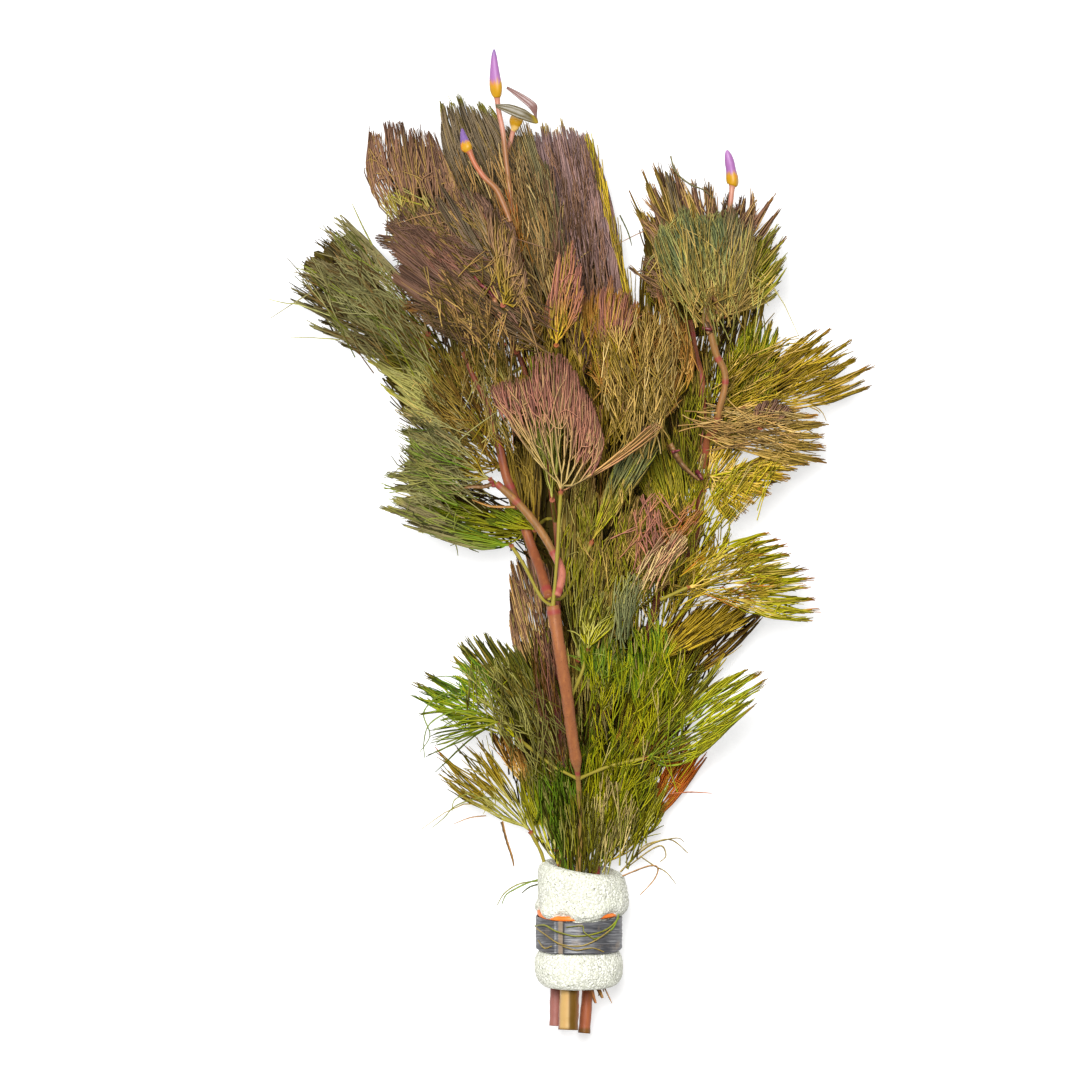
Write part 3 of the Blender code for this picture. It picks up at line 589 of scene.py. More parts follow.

# %% [markdown]
# ## The forking leaf
# The rule of the plant: from the palm, at the end of the stalk, a handful of rays spread out;
# each ray parts in two, each part in two again, then in three, and the last strands run on nearly
# side by side. The leaf is drawn in its own flat space first, u from palm to tip and v across the
# fan, which a curved sheet then carries to its place in the bunch.
#
# A row names the leaf and its tone, its layer, the stalk's route with the palm last, the ragged
# end, and how wide the rays spread. Then come the strands, the wet clumps, how pointed, how
# notched and how wild they are, and four paints: inner, outer, tips and stray strands. Places are
# in millimetres, placed over the photograph.

# %% Leaf table
Leaf = namedtuple(
    "Leaf",
    "name tone layer route rim spread strands clumps point notch wild paints even bend droop",
    defaults=(0.2, (0, 0), 0),
)
LEAVES = [
    Leaf("centre_front_leaf", "pink", 0.4, ((-5.6, -15.6), (-4.4, -4.6), (-3.9, 5.4), (-3.4, 12.6)),
        ((-23.4, 41.6), (-16.9, 43.1), (-8.6, 45.9), (-2.1, 45.1), (1.4, 39.1), (4.4, 33.4), (7.4, 25.9)),
        0.35, 260, 4, 0.12, 0.26, 0.8, "ash_tan rose rose ash_tan", 0.35),
    Leaf("shoot_leaf_right", "mauve", 0.4, ((-17.4, 55.4), (-17.9, 59.1)), ((-22.1, 84.6), (-14.9, 78.9),
        (-11.6, 63.9)), 0.35, 110, 6, 0.2, 0.2, 1.8, "olive heather plum khaki"),
    Leaf("left_front_leaf", "olive", 1.2, ((-5.6, -15.6), (-8.4, -13.9), (-12.6, -5.9), (-15.9, -0.9)),
        ((-43.6, 11.4), (-48.1, 7.9), (-44.6, 4.9), (-38.6, 2.1), (-32.1, 0.1)), 0.3, 190, 6, 0.45, 0.2, 1.4,
        "grass ash sage leaf_green", 0.05, bend=(0, -1.5)),
    Leaf("lower_right_leaf", "yellow", 1.6, ((21.4, -14.6), (28.4, -11.4)), ((47.4, 3.1), (52.9, -1.6),
        (58.4, -8.6), (60.4, -14.6), (60.9, -20.6)), 0.35, 210, 11, 0.75, 0.12, 0.9, "lime lime rust straw",
        0.25, droop=1.6),
    Leaf("shoot_leaf_up", "mauve", 1.8, ((-17.9, 60.4), (-19.4, 62.9)), ((-48.1, 79.9), (-43.6, 82.4),
        (-35.6, 87.1), (-27.1, 87.9), (-18.1, 83.4)), 0.45, 230, 8, 0.15, 0.18, 1.8, "khaki plum plum tan",
        0.35),
    Leaf("low_right_leaf", "green", 2, ((0.9, -58.6), (8.9, -56.1), (17.9, -54.1)), ((41.4, -32.1),
        (45.1, -31.6), (47.9, -36.6), (44.4, -41.6), (38.9, -46.1)), 1.1, 136, 7, 0.55, 0.16, 1.2,
        "moss lime bronze grass", 0.45, bend=(0, -2), droop=1),
    Leaf("tuft_leaf", "orange", 2.6, ((-3.6, 40.4), (-4.6, 49.1)), ((-6.6, 61.4), (-4.6, 69.9), (-1.6, 76.1),
        (0.4, 75.4), (2.1, 69.9), (2.6, 62.9)), 0.7, 120, 5, 0.6, 0.35, 1.0, "gold rose pink bronze", 0.5),
    Leaf("shoot_leaf_low", "mauve", 2.8, ((-17.4, 55.4), (-20.6, 59.1)), ((-44.1, 63.4), (-42.6, 58.9),
        (-37.6, 53.4), (-31.6, 50.9), (-26.1, 49.9)), 0.35, 160, 6, 0.25, 0.16, 1.6,
        "deep_olive plum bronze khaki", 0.0, bend=(0, -1)),
    Leaf("low_left_leaf", "green", 3, ((0.1, -58.9), (-6.1, -55.6), (-13.9, -49.4)), ((-38.6, -39.6),
        (-43.1, -37.4), (-35.6, -32.6), (-30.6, -30.1), (-26.6, -27.1)), 0.35, 170, 7, 0.7, 0.2, 1.6,
        "lime grass khaki lime", bend=(0, 1), droop=0.8),
    Leaf("bright_leaf", "green", 3, ((16.4, -57.1), (18.6, -50.6)), ((12.9, -24.6), (15.4, -19.1),
        (19.4, -17.6), (23.4, -22.1)), 0.6, 170, 6, 0.55, 0.16, 1.2, "lime grass leaf_green lime",
        bend=(1, 0)),
    Leaf("right_shoot_leaf", "grey", 3.2, ((33.9, 55.9), (35.4, 59.9)), ((20.4, 75.9), (22.4, 81.4),
        (28.9, 83.4), (39.4, 83.4), (43.9, 77.9), (45.9, 72.9)), 0.5, 210, 8, 0.3, 0.12, 1.5,
        "straw sage teal straw", 0.5),
    Leaf("right_mid_leaf", "olive", 3.2, ((33.4, 22.4), (35.4, 25.4)), ((51.4, 33.4), (56.4, 33.4),
        (64.1, 29.4), (61.4, 23.4), (61.9, 19.9), (56.4, 18.4)), 0.35, 210, 8, 0.45, 0.12, 1.0,
        "straw khaki bronze straw", 0.4, bend=(0, 1.5), droop=1.2),
    Leaf("centre_right_leaf", "dark", 3.4, ((-5.6, -15.6), (-3.1, -14.1), (0.6, -8.1), (4.4, 0.1)),
        ((12.9, 25.4), (14.4, 28.6), (17.9, 28.6), (24.4, 27.6)), 0.3, 170, 6, 0.4, 0.2, 1.0,
        "lime teal plum khaki"),
    Leaf("left_mid_leaf", "green", 3.4, ((-14.4, 10.4), (-21.1, 15.6)), ((-37.6, 30.9), (-44.1, 27.9),
        (-44.6, 23.9), (-48.6, 16.4), (-45.6, 11.4), (-44.6, 8.4)), 0.3, 210, 7, 0.8, 0.3, 1.6,
        "olive ash_green leaf_green ash_green", 0.05, droop=1.2),
    Leaf("shoot_leaf_left", "mauve", 3.8, ((-18.6, 60.4), (-21.1, 62.4)), ((-48.1, 80.4), (-49.1, 75.4),
        (-46.1, 69.9), (-44.6, 64.9), (-43.1, 60.9)), 0.5, 170, 6, 0.12, 0.14, 1.4, "khaki plum plum khaki",
        0.3, bend=(0, 1.5)),
    Leaf("green_fan_leaf", "green", 4, ((2.6, -57.1), (7.1, -42.6)), ((0.9, -24.6), (9.4, -22.6),
        (17.4, -29.6)), 0.4, 190, 7, 0.4, 0.16, 1.6, "lime grass sage sage"),
    Leaf("right_shoot_side_leaf", "green", 4.2, ((34.4, 55.4), (36.9, 58.9)), ((46.9, 77.4), (49.9, 79.9),
        (52.9, 73.9), (51.4, 66.4), (50.4, 60.4)), 0.35, 96, 8, 0.7, 0.3, 1.4, "straw sage moss straw", 0.4),
    Leaf("right_low_leaf", "yellow", 4.2, ((32.1, 15.4), (33.4, 16.4)), ((59.4, 20.4), (53.9, 16.4),
        (46.4, 10.4), (38.4, 4.4)), 0.2, 120, 8, 0.45, 0.18, 1.2, "lime gold bronze straw", bend=(0, 1)),
    Leaf("lowest_left_leaf", "olive", 4.4, ((-6.6, -82.6), (-8.4, -77.6), (-11.1, -72.4)), ((-37.6, -57.6),
        (-34.9, -52.6), (-28.6, -50.6), (-25.6, -47.1)), 0.35, 62, 7, 0.9, 0.3, 2.2, "moss olive rust sage",
        droop=1.5),
    Leaf("right_high_leaf", "olive", 4.6, ((37.9, 30.4), (42.1, 33.4)), ((59.4, 53.4), (65.4, 52.9),
        (70.9, 47.9), (74.4, 41.9), (72.9, 37.4)), 0.3, 190, 9, 0.75, 0.14, 0.9, "gold olive bronze straw",
        0.4, bend=(0, -1), droop=2),
    Leaf("dark_small_leaf", "dark", 4.8, ((-16.1, 42.4), (-14.6, 47.4)), ((-18.6, 62.4), (-10.1, 66.4),
        (-7.4, 52.9)), 0.4, 120, 5, 0.3, 0.18, 1.2, "olive brown khaki straw"),
    Leaf("right_centre_leaf", "olive", 4.8, ((23.4, 25.4), (21.9, 30.4)), ((2.1, 43.9), (6.6, 51.1),
        (13.9, 58.4), (17.9, 61.9), (23.4, 62.6), (27.4, 58.4), (29.4, 49.1)), 0.45, 240, 9, 0.45, 0.14, 1.4,
        "olive bronze rose straw", 0.3),
    Leaf("lower_right_shade_leaf", "olive", 4.8, ((16.4, -39.6), (21.9, -29.6)), ((31.4, -15.6),
        (36.4, -14.1), (42.6, -15.1), (47.4, -18.1)), 0.3, 170, 6, 0.55, 0.16, 1.0, "gold olive brown olive",
        0.0),
    Leaf("inner_strip_leaf", "pink", 5, ((6.4, -29.6), (11.9, -19.6)), ((12.4, 10.4), (19.4, 13.4),
        (28.9, 0.4)), 0.5, 150, 6, 0.45, 0.2, 1.2, "khaki tan pink lime", 0.4),
    Leaf("collar_leaf_left", "dark", 5, ((-0.6, -82.6), (-2.1, -77.1)), ((-8.6, -54.6), (-2.1, -49.6),
        (4.4, -54.6)), 0.5, 150, 6, 0.4, 0.22, 1.2, "leaf_green bronze mauve sage"),
    Leaf("top_left_leaf", "mauve", 5.2, ((-23.6, 62.9), (-32.6, 69.9)), ((-51.6, 98.4), (-51.4, 103.6),
        (-45.6, 103.9), (-37.1, 103.9), (-34.4, 100.4), (-32.1, 94.9)), 1, 280, 8, 0.12, 0.12, 0.9,
        "heather mauve plum khaki", 0.4, bend=(-2.5, -1)),
    Leaf("right_shoot_left_leaf", "mauve", 5.2, ((32.9, 55.4), (32.4, 60.4)), ((13.9, 64.4), (11.9, 69.9),
        (12.9, 76.4), (14.9, 82.4), (18.9, 86.4)), 0.35, 130, 6, 0.7, 0.4, 1.8, "olive heather bronze khaki",
        0.3),
    Leaf("far_left_leaf", "grey", 5.6, ((-30.6, 42.4), (-36.6, 51.9)), ((-74.6, 68.4), (-69.1, 73.4),
        (-62.1, 78.9), (-58.6, 81.9), (-56.1, 77.4), (-53.1, 69.9)), 0.6, 250, 8, 0.6, 0.22, 1.6,
        "tan ash ash_green ash_green", 0.1, bend=(2.5, 2), droop=1.5),
    Leaf("right_upright_leaf", "green", 5.6, ((37.4, 29.1), (40.6, 33.4)), ((41.4, 52.9), (44.4, 55.9),
        (48.4, 54.9), (51.9, 52.9)), 0.35, 150, 6, 0.55, 0.14, 1.2, "moss leaf_green olive gold"),
    Leaf("low_left_shade_leaf", "dark", 6, ((-3.6, -57.1), (-7.4, -47.1)), ((-29.6, -27.1), (-26.6, -23.6),
        (-21.1, -23.6), (-13.6, -27.1)), 0.35, 140, 7, 0.45, 0.18, 1.2, "moss deep_green sage khaki"),
    Leaf("brown_strip_leaf", "mauve", 6, ((-3.6, -77.1), (-8.6, -67.6)), ((-23.1, -45.6), (-16.6, -46.6),
        (-11.1, -57.1)), 0.5, 100, 5, 0.35, 0.2, 1.0, "khaki bronze mauve straw"),
    Leaf("stem_side_leaf", "dark", 6, ((0.1, -39.6), (0.9, -29.6)), ((-3.6, 10.4), (2.9, 17.9),
        (11.4, -4.6)), 0.6, 180, 6, 0.4, 0.2, 1.2, "moss khaki tan sage"),
    Leaf("collar_leaf_right", "grey", 6, ((6.4, -82.6), (6.9, -77.1)), ((6.4, -52.1), (16.4, -49.6),
        (21.4, -62.1)), 0.5, 190, 8, 0.4, 0.18, 1.2, "moss sage khaki lime"),
    Leaf("centre_top_leaf", "pink", 6.2, ((8.9, 35.4), (7.9, 42.4)), ((1.4, 59.9), (5.9, 64.4), (10.4, 65.9),
        (16.9, 60.4)), 0.5, 170, 7, 0.45, 0.16, 1.0, "straw bronze rose gold", 0.45),
    Leaf("right_back_leaf", "mauve", 6.2, ((34.9, 52.4), (34.4, 63.4)), ((13.4, 84.4), (17.9, 87.9),
        (21.9, 94.4), (29.9, 90.9), (35.4, 87.9), (42.9, 89.4), (45.9, 83.9)), 0.3, 210, 9, 0.6, 0.22, 0.8,
        "khaki mauve tan straw"),
    Leaf("top_centre_leaf", "grey", 7.4, ((-11.1, 60.4), (-12.6, 69.9)), ((-33.6, 105.4), (-33.6, 109.9),
        (-27.6, 109.9), (-21.6, 107.6), (-17.1, 105.6)), 1.1, 280, 8, 0.15, 0.14, 0.8,
        "khaki slate moss dusk", 0.5, bend=(-0.5, 0)),
    Leaf("left_upper_leaf", "olive", 7.6, ((-18.6, 17.9), (-26.1, 27.9)), ((-42.6, 31.9), (-47.4, 38.4),
        (-52.1, 44.9), (-47.4, 49.1), (-41.1, 49.4)), 0.35, 180, 6, 0.7, 0.3, 1.5,
        "straw sage lime ash_green", 0.35),
    Leaf("orange_leaf", "orange", 8.2, ((11.4, -72.1), (17.6, -71.6)), ((25.4, -50.1), (29.4, -48.6),
        (34.4, -50.6), (32.4, -55.1), (29.9, -58.6)), 0.3, 140, 6, 0.6, 0.18, 1.0, "gold rust salmon rust",
        0.5, droop=1.5),
    Leaf("top_wide_leaf", "mauve", 8.4, ((7.4, 42.4), (7.9, 40.9)), ((-10.9, 101.9), (-4.6, 102.6),
        (2.6, 103.4), (4.6, 98.9)), 0.9, 380, 8, 0.1, 0.08, 0.6, "top_rose top_mauve gold top_mauve", 0.75,
        bend=(2, 2.5)),
    Leaf("far_left_low_leaf", "green", 8.6, ((-31.1, 40.4), (-36.6, 47.9)), ((-57.6, 48.4), (-64.6, 52.9),
        (-70.6, 61.4), (-75.1, 68.9)), 0.35, 210, 7, 0.75, 0.3, 1.6, "brown olive_grey ash_green ash", 0.0,
        bend=(-1, -2), droop=1.6),
    Leaf("back_leaf_left", "dark", 9, ((-11.1, 15.4), (-13.6, 30.4)), ((-38.6, 70.4), (-26.1, 81.6),
        (-11.1, 75.4)), 0.5, 130, 6, 0.2, 0.12, 0.8, "brown brown khaki khaki", droop=2),
    Leaf("back_leaf_right", "dark", 9, ((23.9, -4.6), (26.4, 15.4)), ((16.4, 70.4), (31.4, 77.9),
        (48.9, 65.4)), 0.5, 130, 6, 0.2, 0.12, 0.8, "brown olive khaki khaki", droop=2),
    Leaf("behind_stem_leaf", "olive", 9.4, ((-3.6, -44.6), (-7.4, -37.1)), ((-16.6, -17.1), (-14.6, -3.6),
        (-7.1, -4.6)), 0.7, 170, 7, 0.2, 0.14, 0.8, "moss mauve bronze straw"),
    Leaf("back_leaf_centre", "dark", 10, ((6.4, -24.6), (6.4, -4.6)), ((-11.1, 40.4), (3.9, 52.9),
        (21.4, 40.4)), 0.5, 130, 6, 0.2, 0.12, 0.8, "brown olive khaki khaki", droop=1),
    Leaf("back_leaf_low", "dark", 11, ((6.4, -79.6), (6.4, -64.6)), ((-8.6, -29.6), (6.4, -19.6),
        (28.9, -34.6)), 0.5, 130, 6, 0.2, 0.12, 0.8, "brown deep_green olive khaki"),
    Leaf("rosette_mauve", "mauve", 2.4, ((35.9, 54.9),), ((34.9, 79.9), (39.4, 83.1), (43.9, 81.4),
        (45.9, 75.4)), 0.5, 100, 5, 0.2, 0.15, 1.2, "straw ash heather straw", 0.6),
    Leaf("rosette_green", "green", 2.2, ((34.9, 54.9),), ((19.4, 74.4), (21.4, 79.9), (26.4, 83.1),
        (31.4, 83.6), (36.9, 82.4)), 0.5, 150, 6, 0.3, 0.15, 1.3, "straw teal sage sage", 0.6),
    Leaf("rosette_side", "olive", 3.0, ((37.4, 55.9),), ((45.9, 77.4), (50.9, 79.9), (53.1, 73.9),
        (52.4, 66.4)), 0.5, 60, 6, 0.6, 0.3, 1.6, "straw moss lime straw", 0.5),
    Leaf("shoot_block_left", "mauve", 1.2, ((-18.6, 55.9),), ((-47.1, 72.9), (-45.6, 77.6), (-42.4, 79.9),
        (-38.6, 79.4)), 0.5, 90, 3, 0.1, 0.1, 0.9, "tan plum plum mauve", 0.45),
    Leaf("shoot_block_low", "mauve", 1.3, ((-17.1, 49.1),), ((-44.6, 64.1), (-43.6, 67.9), (-40.9, 69.6)),
        0.5, 80, 3, 0.1, 0.1, 0.9, "khaki plum mauve mauve", 0.4),
    Leaf("shoot_block_top", "mauve", 1.3, ((-13.6, 53.4),), ((-35.9, 85.9), (-32.9, 88.1), (-30.4, 85.9)),
        0.5, 70, 3, 0.35, 0.2, 0.9, "mauve slate dusk plum", 0.4),
    Leaf("shoot_spike_grey", "grey", 1.5, ((-13.1, 57.9),), ((-29.1, 87.6), (-27.6, 89.1), (-25.9, 87.4)),
        0.5, 44, 2, 0.6, 0.2, 0.6, "tan slate grey_green slate", 0.5),
    Leaf("shoot_spike_rose", "pink", 1.5, ((-10.6, 52.9),), ((-25.1, 81.9), (-23.1, 82.9), (-21.4, 80.4)),
        0.5, 44, 2, 0.6, 0.2, 0.6, "tan rose mauve tan", 0.5),
    Leaf("shoot_spike_plum", "mauve", 1.7, ((-12.6, 55.9),), ((-20.4, 82.9), (-18.9, 84.1), (-17.1, 81.4)),
        0.5, 44, 2, 0.6, 0.2, 0.6, "bronze plum dusk bronze", 0.5),
    Leaf("top_between", "mauve", 7.0, ((2.4, 41.9),), ((-18.6, 92.4), (-16.6, 98.9), (-11.6, 102.4),
        (-7.4, 98.9)), 0.35, 150, 6, 0.15, 0.2, 1.4, "tan ash tan straw", 0.3),
    Leaf("fill_top_wide", "dark", 9.6, ((6.4, 40.9),), ((-9.6, 77.9), (-3.6, 87.9), (6.4, 87.9),
        (12.4, 72.9), (13.4, 60.4)), 0.6, 150, 7, 0.2, 0.2, 1.0, "brown mauve khaki khaki"),
    Leaf("fill_top_middle", "dark", 9.4, ((-4.6, 47.9),), ((-18.6, 77.9), (-13.6, 87.9), (-4.6, 85.4),
        (1.4, 72.9)), 0.6, 130, 6, 0.3, 0.2, 1.0, "brown khaki khaki khaki"),
    Leaf("fill_left_high", "dark", 8.6, ((-26.6, 35.9),), ((-42.6, 60.4), (-50.6, 52.9), (-47.6, 41.9)),
        0.45, 110, 6, 0.4, 0.2, 1.2, "khaki moss sage khaki"),
    Leaf("fill_left_upper", "dark", 8.4, ((-17.9, 18.4),), ((-34.6, 37.4), (-41.6, 28.4), (-35.6, 18.9)),
        0.45, 110, 6, 0.4, 0.2, 1.2, "olive olive_grey sage khaki"),
    Leaf("fill_left_mid", "green", 6.8, ((-11.6, 1.9),), ((-44.1, 14.9), (-45.6, 8.4), (-32.1, 0.4)), 0.6,
        150, 6, 0.5, 0.2, 1.2, "lime leaf_green khaki moss"),
    Leaf("fill_stem_left", "dark", 8.8, ((-10.6, -4.6),), ((-18.9, 22.4), (-16.6, 30.4), (-8.6, 25.4)), 0.4,
        110, 6, 0.4, 0.2, 1.2, "brown khaki bronze olive"),
    Leaf("fill_left_hollow", "dark", 8.2, ((-18.6, 23.4),), ((-34.6, 47.4), (-28.1, 52.9), (-18.6, 50.9),
        (-15.1, 42.4)), 0.6, 150, 6, 0.4, 0.2, 1.6, "olive khaki moss ash_green"),
    Leaf("fill_tuft", "dark", 8.0, ((-3.1, 30.4),), ((-12.6, 60.4), (-3.6, 63.9), (4.9, 57.4)), 0.5, 110, 6,
        0.4, 0.2, 1.2, "olive khaki moss khaki"),
    Leaf("fill_centre", "dark", 7.6, ((6.4, 9.1),), ((-4.6, 40.4), (6.4, 43.9), (17.9, 37.4)), 0.5, 110, 6,
        0.4, 0.2, 1.2, "brown olive moss khaki"),
    Leaf("fill_right_centre", "olive", 7.4, ((28.4, -5.1),), ((12.9, 25.4), (21.9, 28.4), (29.9, 24.1)), 0.5,
        110, 6, 0.4, 0.2, 1.2, "olive moss gold gold"),
    Leaf("fill_right_gold", "yellow", 7.8, ((20.9, -24.6),), ((16.4, 5.4), (28.9, 10.4), (40.9, 4.4)), 0.5,
        130, 6, 0.5, 0.2, 1.4, "gold gold olive lime"),
    Leaf("fill_right_mid", "yellow", 7.6, ((32.4, 14.9),), ((59.4, 25.4), (54.4, 18.4), (46.4, 12.4)), 0.4,
        110, 6, 0.5, 0.2, 1.2, "gold olive bronze straw"),
    Leaf("fill_low_right", "yellow", 8.2, ((16.4, -41.1),), ((28.9, -13.6), (41.4, -14.1), (47.4, -20.6)),
        0.4, 110, 6, 0.5, 0.2, 1.2, "olive brown bronze gold"),
    Leaf("fill_low_right_b", "green", 7.0, ((10.9, -55.6),), ((18.9, -24.6), (29.9, -24.6), (37.9, -30.6)),
        0.4, 130, 6, 0.5, 0.2, 1.4, "gold moss gold lime"),
    Leaf("fill_low_right_c", "olive", 8.6, ((6.9, -65.1),), ((16.4, -37.1), (26.4, -38.6), (32.9, -46.6)),
        0.4, 110, 6, 0.5, 0.2, 1.2, "olive bronze khaki gold"),
    Leaf("fill_mouth_right", "olive", 4.6, ((7.4, -81.1),), ((11.9, -59.6), (19.4, -56.6), (25.4, -64.6)),
        0.5, 120, 6, 0.5, 0.3, 1.4, "gold moss lime lime"),
    Leaf("fill_mouth_left", "dark", 4.6, ((-4.1, -81.1),), ((-14.6, -59.6), (-8.6, -54.6), (-0.6, -57.6)),
        0.5, 120, 6, 0.5, 0.3, 1.4, "sage moss khaki lime", 0.0),
    Leaf("fill_mouth_mid", "dark", 5.4, ((1.4, -82.1),), ((-3.1, -54.6), (3.9, -52.1), (10.9, -55.6)), 0.5,
        120, 6, 0.5, 0.3, 1.4, "khaki sage moss sage", 0.0),
    Leaf("fill_low_left", "dark", 7.4, ((-3.1, -55.6),), ((-20.1, -37.1), (-13.6, -27.1), (-4.6, -30.6)),
        0.4, 100, 6, 0.4, 0.2, 1.2, "olive deep_green khaki moss"),
    Leaf("fill_centre_low", "dark", 7.6, ((2.9, -55.6),), ((-4.6, -24.6), (3.9, -18.6), (12.9, -27.1)), 0.4,
        110, 6, 0.4, 0.2, 1.2, "brown khaki moss sage"),
    Leaf("centre_side_bundle", "pink", 0.9, ((-3.1, 12.6),), ((13.9, 25.4), (18.4, 28.6), (21.9, 30.1),
        (22.4, 27.9)), 0.1, 26, 3, 0.2, 0.4, 1.0, "straw tan pink pink", bend=(1.5, -1.5)),
    Leaf("shoot_top_spikes", "mauve", 5.4, ((34.4, 62.9),), ((41.4, 87.9), (48.9, 87.4), (52.9, 73.9)), 0.4,
        90, 6, 0.75, 0.3, 0.8, "khaki mauve bronze straw"),
    Leaf("shoot_left_spikes", "mauve", 6.0, ((31.4, 61.4),), ((13.4, 85.1), (19.4, 93.4), (28.9, 91.4)), 0.4,
        90, 6, 0.75, 0.3, 0.8, "khaki khaki bronze straw"),
    Leaf("dark_spike", "grey", 5.0, ((28.9, 70.4),), ((21.4, 92.9), (22.9, 94.6), (25.9, 87.9)), 0.2, 40, 2,
        0.4, 0.2, 0.5, "brown shade khaki khaki"),
    Leaf("mauve_spot", "mauve", 2.6, ((44.4, 25.4), (46.4, 28.4)), ((45.4, 34.4), (49.9, 35.6),
        (54.9, 32.9)), 0.4, 60, 3, 0.2, 0.1, 0.6, "khaki mauve plum tan"),
    Leaf("red_strip", "pink", 4.2, ((7.9, 42.4),), ((5.9, 62.4), (10.4, 64.4), (16.4, 61.4)), 0.3, 80, 4,
        0.3, 0.2, 0.8, "gold rose rose bronze", 0.45),
    Leaf("right_centre_side", "olive", 5.2, ((20.4, 30.4),), ((22.4, 52.9), (26.4, 47.9), (27.4, 37.4)), 0.4,
        90, 4, 0.5, 0.2, 1.0, "khaki bronze khaki straw"),
    Leaf("small_stalked", "green", 2.4, ((0.4, -39.6), (1.9, -32.6), (3.4, -26.9)), ((2.4, -14.6),
        (7.4, -12.1), (12.9, -14.6)), 0.6, 50, 5, 0.6, 0.3, 1.8, "lime moss sage sage"),
    Leaf("green_left_tuft", "green", 2.2, ((-3.6, 5.4), (-5.6, 10.4)), ((-13.6, 42.4), (-8.6, 47.9),
        (-3.6, 40.4)), 0.4, 80, 5, 0.5, 0.3, 1.6, "moss leaf_green moss sage"),
    Leaf("shoot_inner", "orange", 3.2, ((-17.9, 56.4),), ((-22.1, 63.9), (-18.6, 66.9), (-14.6, 64.9)), 0.4,
        40, 4, 0.6, 0.3, 1.8, "gold straw rose rust"),
    Leaf("collar_green_left", "green", 3.2, ((-3.6, -83.1), (-4.6, -77.1)), ((-11.1, -57.1), (-5.6, -52.6),
        (-0.6, -59.6)), 0.5, 60, 5, 0.6, 0.3, 1.6, "sage leaf_green lime lime"),
    Leaf("collar_green_right", "green", 3.2, ((3.9, -83.6), (5.9, -77.6)), ((5.4, -57.1), (11.4, -52.6),
        (16.4, -62.1)), 0.5, 80, 5, 0.6, 0.3, 1.6, "gold sage moss lime"),
    Leaf("left_green_mid", "green", 4.0, ((-7.4, 5.4), (-9.9, 2.9)), ((-26.1, 5.4), (-21.1, 9.1),
        (-13.6, 10.4)), 0.3, 60, 4, 0.6, 0.3, 1.2, "lime leaf_green deep_green moss"),
    Leaf("right_gold_mid", "yellow", 4.6, ((31.4, 10.4), (32.4, 12.9)), ((35.4, 30.4), (41.4, 27.9),
        (46.4, 20.4)), 0.3, 60, 4, 0.6, 0.3, 1.2, "gold gold khaki straw"),
    Leaf("low_left_curls", "green", 2.4, ((-13.9, -49.4), (-18.6, -45.1)), ((-38.6, -42.6), (-37.6, -48.1),
        (-36.1, -54.1)), 0.4, 24, 5, 0.4, 0.3, 2.6, "leaf_green leaf_green deep_green moss",
        bend=(0.0, 1.5)),
]

print(len(LEAVES), "leaves")

# %% [markdown]
# Every strand of a leaf is drawn in u and v. The functions below find the place of any u and v on
# the leaf's curved sheet: a quadratic curve runs from the palm to each place of the ragged end.

# %% The sheet that carries a leaf
SCENE_SPREAD = 1.3


def rim_points(leaf, v):
    """Places on the leaf's ragged end, v running evenly along its outline."""
    rim = through(leaf.rim, 9) if len(leaf.rim) == 3 else np.array(leaf.rim, dtype=float)
    run = np.concatenate([[0], np.cumsum(np.linalg.norm(np.diff(rim, axis=0), axis=1))])
    run /= run[-1]
    inside = np.clip(v, 0.0, 1.0)
    tip = np.column_stack([np.interp(inside, run, rim[:, 0]), np.interp(inside, run, rim[:, 1])])
    beyond = (v - inside)[:, None]
    return tip + beyond * np.where(beyond > 0, rim[-1] - rim[-2], rim[1] - rim[0]) * len(rim)


def blade_points(leaf, u, v, lift):
    """Places of (u, v) on a leaf's curved sheet; lift is in layers, upwards. In millimetres."""
    tip = rim_points(leaf, v)
    palm = np.array(leaf.route[-1], dtype=float)
    chord = np.array(leaf.rim[-1], dtype=float) - np.array(leaf.rim[0], dtype=float)
    control = palm + 0.42 * (tip - palm) + SCENE_SPREAD * leaf.spread * chord * (v[:, None] - 0.5)
    control = control + np.array(leaf.bend, dtype=float)
    u2 = u[:, None]
    flat = (1 - u2) ** 2 * palm + 2 * u2 * (1 - u2) * control + u2 * u2 * tip
    layer = leaf.layer + leaf.droop * u * u - lift
    layer = np.clip(layer, -0.15, LOWEST_LAYER)
    return np.column_stack([flat, layer_height(flat[:, 0], flat[:, 1], layer)])


# %% [markdown]
# ## Growing one leaf
# A leaf's last strands gather into clumps, because the bunch is wet. Each clump is a brush that
# ends blunt on the broad leaves and pointed on the thin ones, and the clumps differ in length, so
# the rim is notched. The recursion below splits a sorted group of strands at each fork.

# %% Growing one leaf
FORKS = (0.0, 0.15, 0.29, 0.44, 0.60)
SPLITS = (5, 2, 2, 3, 3)
STRAND_RADII = (0.29, 0.25, 0.22, 0.20, 0.19, 0.19)
NET_RADIUS_SHARE = 0.78
BRUSH_SHARE, NET_SHARE = 0.95, 0.40


def clumps_of(leaf, rng):
    """Wet brushes across the fan: from, to, how much shorter, lift in layers, shade."""
    n = leaf.clumps
    cuts = sorted([0.0, 1.0] + [(i + 0.7 * (rng.random() - 0.5)) / n for i in range(1, n)])
    return [(low, high, rng.uniform(0.0, leaf.notch) if rng.random() < 0.75 else 0.0,
             rng.uniform(-0.22, 0.22), rng.random()) for low, high in zip(cuts, cuts[1:])]


